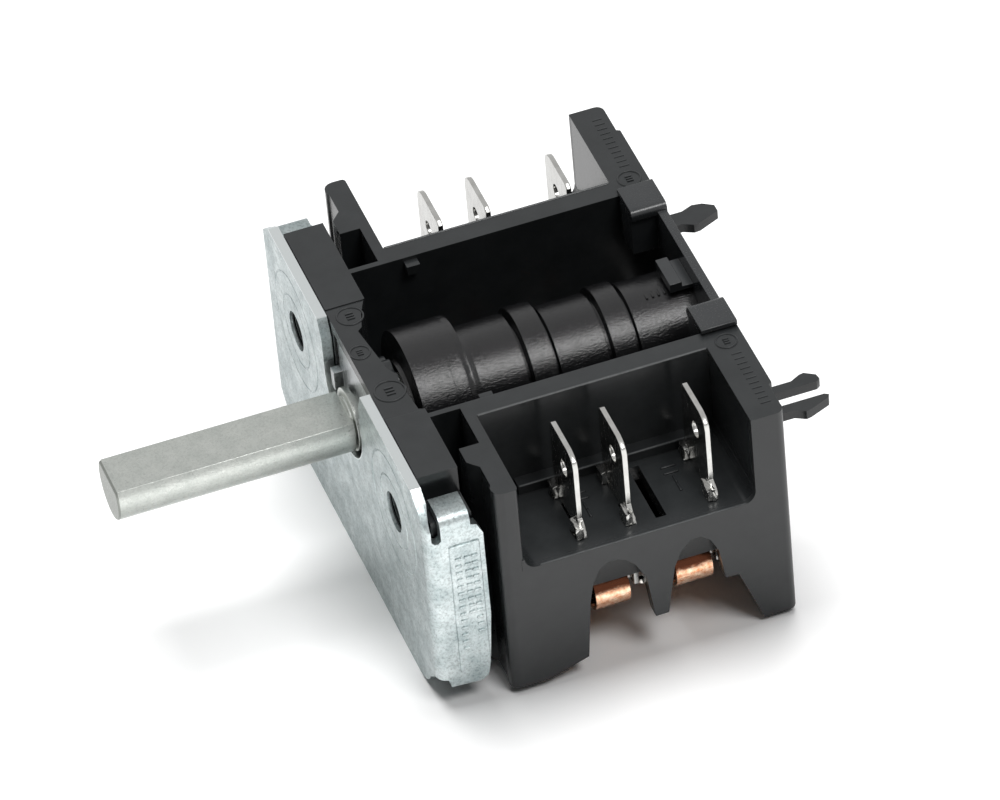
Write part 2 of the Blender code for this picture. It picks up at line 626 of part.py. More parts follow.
FINISHES = {
    "zinc": ((0.50, 0.54, 0.55), 1.0, 0.42),
    "steel": ((0.56, 0.56, 0.54), 1.0, 0.35),
    "black_plastic": ((0.022, 0.023, 0.024), 0.0, 0.48),
    "glossy_black": ((0.012, 0.012, 0.013), 0.0, 0.22),
    "tin": ((0.75, 0.75, 0.74), 1.0, 0.25),
    "copper": ((0.78, 0.36, 0.20), 1.0, 0.28),
    "silver": ((0.83, 0.82, 0.80), 1.0, 0.22),
    "spring_steel": ((0.62, 0.63, 0.63), 1.0, 0.30),
}


def finish(item, kind, smooth, pivot=(0.0, 0.0, 0.0)):
    """Give the piece its material, move it to the world frame and set its origin."""
    colour, metallic, roughness = FINISHES[kind]
    material = bpy.data.materials.new(item.name + "_" + kind)
    material.use_nodes = True
    shader = material.node_tree.nodes["Principled BSDF"]
    shader.inputs["Base Color"].default_value = (*colour, 1.0)
    shader.inputs["Metallic"].default_value = metallic
    shader.inputs["Roughness"].default_value = roughness
    mesh = item.data
    mesh.materials.clear()
    mesh.materials.append(material)
    for vertex in mesh.vertices:
        vertex.co = [(vertex.co[i] - pivot[i]) * MM for i in range(3)]
    item.location = [(OFFSET[i] + pivot[i]) * MM for i in range(3)]
    for polygon in mesh.polygons:
        polygon.use_smooth = smooth
    if smooth:
        mesh.set_sharp_from_angle(angle=math.radians(32.0))
    mesh.update()
    return item


def main():
    """Build every piece of the switch."""
    clear_scene()
    axis = (0.0, 0.0, 0.0)
    finish(bracket_shape(), "zinc", True)
    finish(housing_shape(), "black_plastic", True)
    finish(shaft_shape(), "steel", True, axis)
    finish(cam_drum_shape(), "glossy_black", True, axis)
    finish(detent_wheel_shape(), "black_plastic", True, axis)
    finish(retainer_shape(), "spring_steel", True)
    finish(detent_spring_shape(), "spring_steel", True)
    finish(cover_shape(), "black_plastic", True)
    for side, place in ((1, "near"), (-1, "far")):
        for index in range(len(TAB_STATIONS)):
            finish(terminal_shape(side, index, f"terminal_{place}_{index + 1}"), "tin", True)
        for index in range(len(SPRING_STATIONS)):
            finish(spring_shape(side, index, f"contact_spring_{place}_{index + 1}"), "copper", True)
            finish(contact_shape(side, index, True, f"fixed_contact_{place}_{index + 1}"), "silver", True)
            finish(contact_shape(side, index, False, f"moving_contact_{place}_{index + 1}"), "silver", True)
        finish(bus_shape(side, f"common_strip_{place}"), "copper", False)


main()
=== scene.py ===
"""Looks of an oven selector switch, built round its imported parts.

Lengths are written in millimetres in the drawing frame of the switch: the shaft axis is
x = z = 0, the front face of the bracket is y = 0, +Y runs to the rear and +Z to the open
top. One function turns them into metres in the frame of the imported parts.
"""

from __future__ import annotations

import json
import logging
import math
from dataclasses import dataclass
from enum import Enum
from typing import Callable, Iterable, Sequence

import bmesh
import bpy
from mathutils import Matrix, Vector, noise

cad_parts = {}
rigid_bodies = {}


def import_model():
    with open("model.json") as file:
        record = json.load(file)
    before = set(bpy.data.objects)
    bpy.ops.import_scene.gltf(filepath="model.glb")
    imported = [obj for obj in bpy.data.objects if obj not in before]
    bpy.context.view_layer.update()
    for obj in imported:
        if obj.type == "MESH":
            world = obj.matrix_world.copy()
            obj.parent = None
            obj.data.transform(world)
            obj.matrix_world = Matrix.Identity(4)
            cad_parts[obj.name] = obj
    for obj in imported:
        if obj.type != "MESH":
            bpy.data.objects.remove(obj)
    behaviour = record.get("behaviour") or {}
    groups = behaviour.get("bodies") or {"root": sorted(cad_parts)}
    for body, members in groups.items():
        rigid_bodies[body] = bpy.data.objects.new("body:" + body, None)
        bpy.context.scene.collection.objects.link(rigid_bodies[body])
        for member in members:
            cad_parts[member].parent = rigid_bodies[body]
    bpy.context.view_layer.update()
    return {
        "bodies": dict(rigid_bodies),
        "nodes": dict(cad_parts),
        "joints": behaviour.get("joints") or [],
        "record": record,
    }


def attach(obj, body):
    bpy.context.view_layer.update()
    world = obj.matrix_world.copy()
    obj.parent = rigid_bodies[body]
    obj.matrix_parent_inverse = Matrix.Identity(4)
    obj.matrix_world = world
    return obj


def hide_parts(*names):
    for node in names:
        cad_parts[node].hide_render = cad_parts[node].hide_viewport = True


LOG = logging.getLogger("selector_switch")
BODY = "switch_body"
ROTOR = "rotor"
SIDES = ("near", "far")
MM = 0.001
QUARTER_TURN = 90.0

# Where the drawing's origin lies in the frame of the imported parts, in millimetres.
SHIFT = (0.0, -9.65, 17.3)

# In metres: vertices this close are one, and a vertex this close to a cutting plane lies on it.
SAME_POINT = 2e-6
ON_PLANE = 1e-7

# Numbers of the Mix node's sockets, because its kinds of value share their names.
COLOUR_A, COLOUR_B, COLOUR_OUT = 6, 7, 2
VALUE_A, VALUE_B, VALUE_OUT = 2, 3, 0

# Bounds of a finish on its piece, in millimetres in the frame of the imported parts: the outer
# walls and the top faces of the mouldings, the top edge and the notch of the sheet, the sawn
# end of the bar, and the height above which shade is painted on the copper.
OUTER_FACE_X = 23.7
TOP_FACE_Z = 25.05
SHEET_TOP_Z = 24.98
NOTCH_CENTRE_Z = 19.3
NOTCH_RIM_R = 5.36
SAWN_END_Y = -32.75
COPPER_SHADE_FROM_Z = 7.5

# What those bounded parts look like.
INNER_ROUGHNESS = 0.22
# The sheet's cut edges are painted lighter than the plating: a painted highlight on burnished, smoother
# metal.
SHEARED_EDGE_HIGHLIGHT_COLOUR = "#DADFDF"
SHEARED_ROUGHNESS = 0.30
SAWN_COLOUR = "#8F928D"
# Painted shade on the upper side of the copper leaves.
COPPER_TOP_SHADE_COLOUR = "#5C3626"

# The edge of the painted shade on the copper, in millimetres: how far it fades, how far it wanders and how
# wide its waves are.
COPPER_SHADE_FADE = 0.5
COPPER_SHADE_WANDER = 0.8
COPPER_SHADE_WAVE = 0.7

# Flow lines of the polished mould: their size in millimetres and their share of the relief.
FLOW_LINE = 0.8
FLOW_SHARE = 0.3

# Pits are this much wider than the grain.
PIT_TO_GRAIN = 1.4

# In degrees: an edge sharper than the first is rounded, one sharper than the second stays sharp
# in the shading, and faces flatter to each other than the third are merged.
ROUNDED_ANGLE = 32.0
SHARP_ANGLE = 28.0
FLAT_ANGLE = 0.4

# How finely the repeated shapes are made: steps round a ring and round a turn of thread, sides of
# their wires, and steps and rings of a dome.
RING_STEPS = 56
WIRE_SIDES = 8
THREAD_STEPS = 40
RIDGE_SIDES = 3
DOME_STEPS = 20
DOME_RINGS = 10

# The part of each noise's values that is spread over the full range of its pattern.
PATCH_RANGE = (0.32, 0.68)
GRAIN_RANGE = (0.3, 0.7)
PIT_RANGE = (0.30, 0.55)

# Short names for long types. A piece is any object with a mesh.
Triple = tuple[float, float, float]
Pair = tuple[float, float]
Tree = bpy.types.NodeTree
Node = bpy.types.Node
Socket = bpy.types.NodeSocket
Piece = bpy.types.Object


def place(x: float, y: float, z: float) -> Vector:
    """Turn a point of the drawing frame into metres.

    Args:
        x: Millimetres towards the near side.
        y: Millimetres towards the rear.
        z: Millimetres upwards from the shaft axis.

    Returns:
        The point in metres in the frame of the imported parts.
    """
    return Vector(((x + SHIFT[0]) * MM, (y + SHIFT[1]) * MM, (z + SHIFT[2]) * MM))


def linear(code: str) -> tuple[float, float, float, float]:
    """Turn an sRGB hex code into a linear colour.

    Args:
        code: Six hex digits after a hash sign.

    Returns:
        Linear red, green, blue and an alpha of one.
    """
    values = [int(code[start:start + 2], 16) / 255.0 for start in (1, 3, 5)]
    red, green, blue = [v / 12.92 if v <= 0.04045 else ((v + 0.055) / 1.055) ** 2.4 for v in values]
    return red, green, blue, 1.0


def drawn(point: Vector) -> Vector:
    """Turn a point in metres back into millimetres of the drawing frame."""
    return Vector([value / MM - shift for value, shift in zip(point, SHIFT)])


def per_mm(size: float) -> float:
    """Give the scale of a texture on coordinates in metres whose features measure some millimetres."""
    return 1.0 / (size * MM)


def add_node(tree: Tree, kind: str, settings: dict | None = None, links: dict | None = None) -> Node:
    """Add one node with its settings and links.

    Args:
        tree: The node tree to add to.
        kind: The node's type name.
        settings: Attributes to set on the node.
        links: Input name or number, with the value or the socket that feeds it.

    Returns:
        The new node.
    """
    node = tree.nodes.new(kind)
    for name, value in (settings or {}).items():
        setattr(node, name, value)
    for key, value in (links or {}).items():
        if isinstance(value, Socket):
            tree.links.new(value, node.inputs[key])
        else:
            node.inputs[key].default_value = value
    return node


def socket_name(tree: Tree, name: str) -> str:
    """Give the identifier of a tree's named input."""
    return next(item.identifier for item in tree.interface.items_tree
                if item.in_out == "INPUT" and item.name == name)


class Making(Enum):
    """How the surface of a piece was made, which decides its pattern."""

    MOULDED = "moulded in a spark-eroded tool, with polished inner faces"
    POLISHED_MOULD = "moulded in a polished tool"
    PLATED = "zinc plated, with burnished punched edges"
    DRAWN = "drawn bar, with a sawn end"
    STREAKED = "rolled, cut or rubbed, with fine streaks one way"
    # The dark upper side of this strip is painted shade.
    TOP_SHADED_STRIP = "rolled strip, browned by heat on its upper side"


# How each making draws its grain out: the smaller the number, the longer along that axis.
STRETCH = {
    Making.POLISHED_MOULD: (1.0, 0.35, 1.0),
    Making.DRAWN: (1.0, 0.45, 1.0),
    Making.STREAKED: (1.0, 1.0, 0.12),
    Making.TOP_SHADED_STRIP: (1.0, 0.12, 1.0),
}
NO_STRETCH = (1.0, 1.0, 1.0)
FLOW_STRETCH = (1.0, 0.5, 1.0)


@dataclass(frozen=True)
class Finish:
    """One real finish.

    The patches, the grain and the bump are sizes in millimetres, the roughness runs between two
    limits, and the pits are the share by which they darken the colour.
    """

    name: str
    slot: str
    making: Making
    colour: str
    tint: str
    metallic: float
    rough: Pair
    patch: float
    grain: float
    bump: float
    ior: float = 1.5
    pits: float = 0.0

    def material(self) -> bpy.types.Material:
        """Build the finish's material once and give it back on every later call.

        Returns:
            The node-based material.
        """
        known = bpy.data.materials.get(self.name)
        if known:
            return known
        made = bpy.data.materials.new(self.name)
        made.use_nodes = True
        tree = made.node_tree
        tree.nodes.clear()
        coords = add_node(tree, "ShaderNodeTexCoord").outputs["Object"]
        patch = add_node(tree, "ShaderNodeTexNoise", {}, {
            "Vector": coords, "Scale": per_mm(self.patch), "Detail": 4.0, "Roughness": 0.6})
        grain = self.grain_pattern(tree, coords)
        share = add_node(tree, "ShaderNodeMapRange", {}, {
            "Value": patch.outputs["Fac"], "From Min": PATCH_RANGE[0], "From Max": PATCH_RANGE[1]})
        mix = add_node(tree, "ShaderNodeMix", {"data_type": "RGBA"}, {
            "Factor": share.outputs["Result"], COLOUR_A: linear(self.colour), COLOUR_B: linear(self.tint)})
        colour = mix.outputs[COLOUR_OUT]
        if self.making in (Making.PLATED, Making.DRAWN):
            colour = self.specks(tree, coords, colour)
        if self.making is Making.DRAWN:
            colour = self.sawn(tree, coords, colour)
        # Painted shade on the copper's upper side.
        if self.making is Making.TOP_SHADED_STRIP:
            colour = self.painted_copper_shade(tree, coords, colour)
        shine = self.shine(tree, coords, grain)
        # A painted highlight on the sheet's burnished cut edges.
        if self.making is Making.PLATED:
            colour, shine = self.burnish_and_highlight_edges(tree, self.cut_edges(tree, coords), colour, shine)
        height = self.relief(tree, coords, grain)
        bump = add_node(tree, "ShaderNodeBump", {}, {
            "Height": height, "Strength": 1.0, "Distance": self.bump * MM})
        shader = add_node(tree, "ShaderNodeBsdfPrincipled", {}, {
            "Base Color": colour, "Metallic": self.metallic, "Roughness": shine,
            "IOR": self.ior, "Normal": bump.outputs["Normal"]})
        add_node(tree, "ShaderNodeOutputMaterial", {}, {"Surface": shader.outputs["BSDF"]})
        return made

    def grain_pattern(self, tree: Tree, coords: Socket) -> Socket:
        """Draw the fine pattern that the making leaves.

        Args:
            tree: The material's node tree.
            coords: Object coordinates in metres.

        Returns:
            A value around one half.
        """
        stretch = STRETCH.get(self.making, NO_STRETCH)
        mapping = add_node(tree, "ShaderNodeMapping", {}, {"Vector": coords, "Scale": stretch})
        pattern = add_node(tree, "ShaderNodeTexNoise", {}, {
            "Vector": mapping.outputs["Vector"], "Scale": per_mm(self.grain), "Detail": 3.0,
            "Roughness": 0.6})
        return pattern.outputs["Fac"]

    def specks(self, tree: Tree, coords: Socket, colour: Socket) -> Socket:
        """Darken small pits that the plating or the drawing die leaves.

        Args:
            tree: The material's node tree.
            coords: Object coordinates in metres.
            colour: The colour before the pits.

        Returns:
            The colour with the pits.
        """
        pits = add_node(tree, "ShaderNodeTexNoise", {}, {
            "Vector": coords, "Scale": per_mm(self.grain * PIT_TO_GRAIN), "Detail": 2.0, "Roughness": 0.75})
        depth = add_node(tree, "ShaderNodeMapRange", {}, {
            "Value": pits.outputs["Fac"], "From Min": PIT_RANGE[0], "From Max": PIT_RANGE[1],
            "To Min": 1.0 - self.pits, "To Max": 1.0})
        grey = add_node(tree, "ShaderNodeCombineColor", {}, {
            channel: depth.outputs["Result"] for channel in ("Red", "Green", "Blue")})
        shaded = add_node(tree, "ShaderNodeMix", {"data_type": "RGBA", "blend_type": "MULTIPLY"}, {
            "Factor": 1.0, COLOUR_A: colour, COLOUR_B: grey.outputs["Color"]})
        return shaded.outputs[COLOUR_OUT]

    def cut_edges(self, tree: Tree, coords: Socket) -> Socket:
        """Mark the punch-cut edges of the sheet: its top edge and the rim of its notch.

        Args:
            tree: The material's node tree.
            coords: Object coordinates in metres.

        Returns:
            One on the cut edges, zero elsewhere.
        """
        parts = add_node(tree, "ShaderNodeSeparateXYZ", {}, {0: coords})
        top = add_node(tree, "ShaderNodeMath", {"operation": "GREATER_THAN"}, {
            0: parts.outputs["Z"], 1: SHEET_TOP_Z * MM})
        plane = add_node(tree, "ShaderNodeCombineXYZ", {}, {"X": parts.outputs["X"], "Z": parts.outputs["Z"]})
        away = add_node(tree, "ShaderNodeVectorMath", {"operation": "DISTANCE"}, {
            0: plane.outputs[0], 1: (0.0, 0.0, NOTCH_CENTRE_Z * MM)})
        rim = add_node(tree, "ShaderNodeMath", {"operation": "LESS_THAN"}, {
            0: away.outputs["Value"], 1: NOTCH_RIM_R * MM})
        both = add_node(tree, "ShaderNodeMath", {"operation": "MAXIMUM"}, {
            0: top.outputs[0], 1: rim.outputs[0]})
        return both.outputs[0]

    def burnish_and_highlight_edges(self, tree: Tree, where: Socket, colour: Socket, shine: Socket) -> tuple[Socket, Socket]:
        """Burnish the edges that the punch has cut, and paint them lighter as a highlight.

        Args:
            tree: The material's node tree.
            where: One on those edges, zero elsewhere.
            colour: The colour of the plated faces.
            shine: The roughness of the plated faces.

        Returns:
            The colour with the painted highlight and the roughness with the burnished edges.
        """
        edge = add_node(tree, "ShaderNodeMix", {"data_type": "RGBA"}, {
            "Factor": where, COLOUR_A: colour, COLOUR_B: linear(SHEARED_EDGE_HIGHLIGHT_COLOUR)})
        burnished = add_node(tree, "ShaderNodeMapRange", {}, {
            "Value": where, "To Min": shine, "To Max": SHEARED_ROUGHNESS})
        return edge.outputs[COLOUR_OUT], burnished.outputs["Result"]

    def sawn(self, tree: Tree, coords: Socket, colour: Socket) -> Socket:
        """Grey the sawn end of the bar, which was never drawn bright.

        Args:
            tree: The material's node tree.
            coords: Object coordinates in metres.
            colour: The colour of the drawn faces.

        Returns:
            The colour with its duller end.
        """
        parts = add_node(tree, "ShaderNodeSeparateXYZ", {}, {0: coords})
        end = add_node(tree, "ShaderNodeMath", {"operation": "LESS_THAN"}, {
            0: parts.outputs["Y"], 1: SAWN_END_Y * MM})
        mix = add_node(tree, "ShaderNodeMix", {"data_type": "RGBA"}, {
            "Factor": end.outputs[0], COLOUR_A: colour, COLOUR_B: linear(SAWN_COLOUR)})
        return mix.outputs[COLOUR_OUT]

    def painted_copper_shade(self, tree: Tree, coords: Socket, colour: Socket) -> Socket:
        """Paint shade on the upper side of a copper strip, above a wavy height.

        Args:
            tree: The material's node tree.
            coords: Object coordinates in metres.
            colour: The clean colour.

        Returns:
            The colour with painted shade on its upper side.
        """
        edge = add_node(tree, "ShaderNodeTexNoise", {}, {
            "Vector": coords, "Scale": per_mm(COPPER_SHADE_WAVE), "Detail": 3.0})
        parts = add_node(tree, "ShaderNodeSeparateXYZ", {}, {0: coords})
        height = add_node(tree, "ShaderNodeMath", {"operation": "MULTIPLY_ADD"}, {
            0: edge.outputs["Fac"], 1: COPPER_SHADE_WANDER * MM, 2: parts.outputs["Z"]})
        share = add_node(tree, "ShaderNodeMapRange", {}, {
            "Value": height.outputs[0], "From Min": COPPER_SHADE_FROM_Z * MM,
            "From Max": (COPPER_SHADE_FROM_Z + COPPER_SHADE_FADE) * MM})
        mix = add_node(tree, "ShaderNodeMix", {"data_type": "RGBA"}, {
            "Factor": share.outputs["Result"], COLOUR_A: colour, COLOUR_B: linear(COPPER_TOP_SHADE_COLOUR)})
        return mix.outputs[COLOUR_OUT]

    def shine(self, tree: Tree, coords: Socket, grain: Socket) -> Socket:
        """Give the roughness: the making's grain, and polished inner faces on an eroded moulding.

        Args:
            tree: The material's node tree.
            coords: Object coordinates in metres.
            grain: The fine pattern.

        Returns:
            The roughness.
        """
        rough = add_node(tree, "ShaderNodeMapRange", {}, {
            "Value": grain, "From Min": GRAIN_RANGE[0], "From Max": GRAIN_RANGE[1],
            "To Min": self.rough[0], "To Max": self.rough[1]})
        if self.making is not Making.MOULDED:
            return rough.outputs["Result"]
        parts = add_node(tree, "ShaderNodeSeparateXYZ", {}, {0: coords})
        across = add_node(tree, "ShaderNodeMath", {"operation": "ABSOLUTE"}, {0: parts.outputs["X"]})
        outer = add_node(tree, "ShaderNodeMath", {"operation": "GREATER_THAN"}, {
            0: across.outputs[0], 1: OUTER_FACE_X * MM})
        above = add_node(tree, "ShaderNodeMath", {"operation": "GREATER_THAN"}, {
            0: parts.outputs["Z"], 1: TOP_FACE_Z * MM})
        eroded = add_node(tree, "ShaderNodeMath", {"operation": "MAXIMUM"}, {
            0: outer.outputs[0], 1: above.outputs[0]})
        both = add_node(tree, "ShaderNodeMapRange", {}, {
            "Value": eroded.outputs[0], "To Min": INNER_ROUGHNESS, "To Max": rough.outputs["Result"]})
        return both.outputs["Result"]

    def relief(self, tree: Tree, coords: Socket, grain: Socket) -> Socket:
        """Give the height that bends the light on the surface.

        Args:
            tree: The material's node tree.
            coords: Object coordinates in metres.
            grain: The fine pattern.

        Returns:
            The height, from zero to about one.
        """
        if self.making is Making.POLISHED_MOULD:
            # Flow lines and sink marks, drawn coarser than they are so that the highlight shows them.
            stretch = add_node(tree, "ShaderNodeMapping", {}, {"Vector": coords, "Scale": FLOW_STRETCH})
            waves = add_node(tree, "ShaderNodeTexNoise", {}, {
                "Vector": stretch.outputs["Vector"], "Scale": per_mm(FLOW_LINE), "Detail": 4.0,
                "Roughness": 0.7})
            both = add_node(tree, "ShaderNodeMath", {"operation": "MULTIPLY_ADD"}, {
                0: waves.outputs["Fac"], 1: FLOW_SHARE, 2: grain})
            return both.outputs[0]
        return grain


# Glass-filled polyamide from an eroded tool: satin black, with soft and broad highlights outside.
POLYAMIDE = Finish("moulded_polyamide_black", "black_moulding", Making.MOULDED, "#222425", "#282A2B",
                   metallic=0.0, rough=(0.28, 0.36), patch=2.6, grain=0.20, bump=0.006, ior=1.44)
# The same polyamide from the cover's own, smoother tool: glossier, and a little lighter in colour as a
# painted highlight.
COVER = Finish("moulded_cover_black", "black_moulding", Making.MOULDED, "#26282A", "#2C2E2F",
               metallic=0.0, rough=(0.20, 0.30), patch=2.6, grain=0.20, bump=0.005, ior=1.52)
# The same polyamide squeezed thin at the tool's parting: a shinier line, painted grey as a highlight along
# the rims.
FLASH_LINE_HIGHLIGHT = Finish("flash_line_painted_highlight", "black_moulding", Making.STREAKED, "#4A4C4D", "#3C3E3F",
               metallic=0.0, rough=(0.20, 0.28), patch=1.0, grain=0.20, bump=0.002)
# Acetal from a polished tool: deep black, with highlights broken by flow lines along the drum.
ACETAL = Finish("moulded_acetal_gloss_black", "drum_moulding", Making.POLISHED_MOULD, "#121213", "#161617",
                metallic=0.0, rough=(0.13, 0.24), patch=1.8, grain=0.14, bump=0.034, ior=1.52)
# Zinc on cold-rolled sheet, blue passivated: cool grey, clouded, with fine dark pits.
ZINC = Finish("zinc_plated_sheet", "zinc_sheet", Making.PLATED, "#9FABAC", "#CBD3D3",
              metallic=1.0, rough=(0.28, 0.46), patch=2.4, grain=0.20, bump=0.034, pits=0.36)
# Thread cut after plating: bare steel, painted dark as the shade inside the hole.
THREAD_SHADE = Finish("cut_thread_painted_shade", "zinc_sheet", Making.STREAKED, "#3E4142", "#2C2E2F",
               metallic=1.0, rough=(0.25, 0.40), patch=0.8, grain=0.20, bump=0.004)
# Bright-drawn bar, tumbled: pale grey with a fine grain drawn out along its length.
BAR = Finish("drawn_steel_bar", "shaft_steel", Making.DRAWN, "#BFC3BE", "#CACDC8",
             metallic=1.0, rough=(0.26, 0.42), patch=1.6, grain=0.16, bump=0.022, pits=0.16)
# Brass strip with bright tin: light grey, with sharp highlights.
TIN = Finish("bright_tinned_brass", "tin_plate", Making.STREAKED, "#C2C2BF", "#B2B1AE",
             metallic=1.0, rough=(0.14, 0.28), patch=1.2, grain=0.25, bump=0.008)
# Rolled spring copper: pale to warm orange with lengthwise rolling lines, with painted shade on its upper
# side.
COPPER = Finish("rolled_copper_strip", "copper_strip", Making.TOP_SHADED_STRIP, "#FFE2C4", "#D4875C",
                metallic=1.0, rough=(0.16, 0.32), patch=0.6, grain=0.26, bump=0.03)
# Fine silver rivet heads: soft white shine.
SILVER = Finish("fine_silver_contact", "silver_contact", Making.STREAKED, "#EAE7E1", "#DAD6CE",
                metallic=1.0, rough=(0.18, 0.30), patch=1.0, grain=0.30, bump=0.005)
# Hardened spring strip: neutral grey.
SPRING = Finish("spring_steel_strip", "spring_steel", Making.STREAKED, "#BEC1C2", "#ADB0B1",
                metallic=1.0, rough=(0.24, 0.38), patch=1.5, grain=0.25, bump=0.006)


@dataclass(frozen=True)
class Spot:
    """Where a repeated detail sits: its place, its size in millimetres and its turn in degrees."""

    x: float
    y: float
    z: float
    size: float = 1.0
    turn: float = 0.0


@dataclass(frozen=True)
class Section:
    """Section of a raised bar in millimetres, half sunk in its face, with its rounded edges."""

    width: float
    height: float
    edge: float
    steps: int = 2


class Facing(Enum):
    """The way a repeated detail looks, as turns about X, Y and Z in degrees."""

    UP = (0.0, 0.0, 0.0)
    FRONT = (QUARTER_TURN, 0.0, 0.0)
    REAR = (-QUARTER_TURN, 0.0, 0.0)
    NEAR = (0.0, QUARTER_TURN, 0.0)
    FAR = (0.0, -QUARTER_TURN, 0.0)


class Repeats:
    """Geometry Nodes trees for the rings, bars, threads and domes that repeat on the switch."""

    def __init__(self) -> None:
        """Build every tree once."""
        self.rings = self.ring_tree()
        self.bars = self.bar_tree()
        self.threads = self.thread_tree()
        self.domes = self.dome_tree()

    def start(self, name: str, sizes: Sequence[str]) -> tuple[Tree, Node]:
        """Open a tree with its inputs.

        Args:
            name: Name of the tree.
            sizes: Names of its number inputs, which are lengths in metres but for the number of turns.

        Returns:
            The tree and its input node.
        """
        tree = bpy.data.node_groups.new(name, "GeometryNodeTree")
        tree.interface.new_socket("Geometry", in_out="OUTPUT", socket_type="NodeSocketGeometry")
        tree.interface.new_socket("Points", in_out="INPUT", socket_type="NodeSocketGeometry")
        for size in sizes:
            tree.interface.new_socket(size, in_out="INPUT", socket_type="NodeSocketFloat")
        tree.interface.new_socket("Facing", in_out="INPUT", socket_type="NodeSocketVector")
        tree.interface.new_socket("Finish", in_out="INPUT", socket_type="NodeSocketMaterial")
        return tree, add_node(tree, "NodeGroupInput")

    def spread(self, tree: Tree, enter: Node, shape: Socket, scale: Socket) -> Socket:
        """Put one copy of a shape at every point, turned the way that the tree's inputs say.

        Args:
            tree: The tree.
            enter: Its input node.
            shape: The shape to repeat.
            scale: The size of each copy.

        Returns:
            The realised copies.
        """
        turn = add_node(tree, "GeometryNodeInputNamedAttribute", {"data_type": "FLOAT"}, {"Name": "turn"})
        about = add_node(tree, "ShaderNodeCombineXYZ", {}, {"Z": turn.outputs["Attribute"]})
        own = add_node(tree, "FunctionNodeEulerToRotation", {}, {0: about.outputs[0]})
        face = add_node(tree, "FunctionNodeEulerToRotation", {}, {0: enter.outputs["Facing"]})
        both = add_node(tree, "FunctionNodeRotateRotation", {"rotation_space": "LOCAL"}, {
            0: face.outputs[0], 1: own.outputs[0]})
        copies = add_node(tree, "GeometryNodeInstanceOnPoints", {}, {
            "Points": enter.outputs["Points"], "Instance": shape, "Rotation": both.outputs[0],
            "Scale": scale})
        real = add_node(tree, "GeometryNodeRealizeInstances", {}, {"Geometry": copies.outputs["Instances"]})
        return real.outputs[0]

    def close(self, tree: Tree, enter: Node, shape: Socket) -> None:
        """End a tree in smooth shading, Realize Instances and Set Material.

        Args:
            tree: The tree.
            enter: Its input node.
            shape: The finished shape.
        """
        smooth = add_node(tree, "GeometryNodeSetShadeSmooth", {}, {"Geometry": shape})
        real = add_node(tree, "GeometryNodeRealizeInstances", {}, {"Geometry": smooth.outputs[0]})
        dressed = add_node(tree, "GeometryNodeSetMaterial", {}, {
            "Geometry": real.outputs[0], "Material": enter.outputs["Finish"]})
        add_node(tree, "NodeGroupOutput", {}, {"Geometry": dressed.outputs[0]})

    def size_of_each(self, tree: Tree) -> Socket:
        """Read each point's own size."""
        size = add_node(tree, "GeometryNodeInputNamedAttribute", {"data_type": "FLOAT"}, {"Name": "size"})
        return size.outputs["Attribute"]

    def ring_tree(self) -> Tree:
        """Make rings of round wire whose radius is each point's size.

        Returns:
            The tree, with the wire's radius as its input.
        """
        tree, enter = self.start("ring_lines", ["Wire"])
        size = self.size_of_each(tree)
        circle = add_node(tree, "GeometryNodeCurvePrimitiveCircle", {}, {
            "Resolution": RING_STEPS, "Radius": 1.0})
        scale = add_node(tree, "ShaderNodeCombineXYZ", {}, {"X": size, "Y": size, "Z": size})
        loops = self.spread(tree, enter, circle.outputs["Curve"], scale.outputs[0])
        wire = add_node(tree, "GeometryNodeCurvePrimitiveCircle", {}, {
            "Resolution": WIRE_SIDES, "Radius": enter.outputs["Wire"]})
        solid = add_node(tree, "GeometryNodeCurveToMesh", {}, {
            "Curve": loops, "Profile Curve": wire.outputs["Curve"]})
        self.close(tree, enter, solid.outputs[0])
        return tree

    def bar_tree(self) -> Tree:
        """Make short bars whose length is each point's size.

        Returns:
            The tree, with the bars' width and height as its inputs.
        """
        tree, enter = self.start("moulded_bars", ["Width", "Height"])
        cube = add_node(tree, "GeometryNodeMeshCube", {}, {"Size": (1.0, 1.0, 1.0)})
        scale = add_node(tree, "ShaderNodeCombineXYZ", {}, {
            "X": self.size_of_each(tree), "Y": enter.outputs["Width"], "Z": enter.outputs["Height"]})
        self.close(tree, enter, self.spread(tree, enter, cube.outputs["Mesh"], scale.outputs[0]))
        return tree

    def thread_tree(self) -> Tree:
        """Make one screw thread at each point, with the point's size as its length.

        Returns:
            The tree, with the thread's radius, depth and number of turns as its inputs.
        """
        tree, enter = self.start("screw_threads", ["Radius", "Depth", "Turns"])
        helix = add_node(tree, "GeometryNodeCurveSpiral", {}, {
            "Resolution": THREAD_STEPS, "Rotations": enter.outputs["Turns"],
            "Start Radius": enter.outputs["Radius"], "End Radius": enter.outputs["Radius"], "Height": 1.0})
        size = self.size_of_each(tree)
        scale = add_node(tree, "ShaderNodeCombineXYZ", {}, {"X": 1.0, "Y": 1.0, "Z": size})
        loops = self.spread(tree, enter, helix.outputs["Curve"], scale.outputs[0])
        ridge = add_node(tree, "GeometryNodeCurvePrimitiveCircle", {}, {
            "Resolution": RIDGE_SIDES, "Radius": enter.outputs["Depth"]})
        solid = add_node(tree, "GeometryNodeCurveToMesh", {}, {
            "Curve": loops, "Profile Curve": ridge.outputs["Curve"], "Fill Caps": True})
        self.close(tree, enter, solid.outputs[0])
        return tree

    def dome_tree(self) -> Tree:
        """Make flattened heads whose radius is each point's size.

        Returns:
            The tree, with the heads' rise as its input.
        """
        tree, enter = self.start("flat_domes", ["Rise"])
        ball = add_node(tree, "GeometryNodeMeshUVSphere", {}, {
            "Segments": DOME_STEPS, "Rings": DOME_RINGS, "Radius": 1.0})
        size = self.size_of_each(tree)
        scale = add_node(tree, "ShaderNodeCombineXYZ", {}, {"X": size, "Y": size, "Z": enter.outputs["Rise"]})
        self.close(tree, enter, self.spread(tree, enter, ball.outputs["Mesh"], scale.outputs[0]))
        return tree


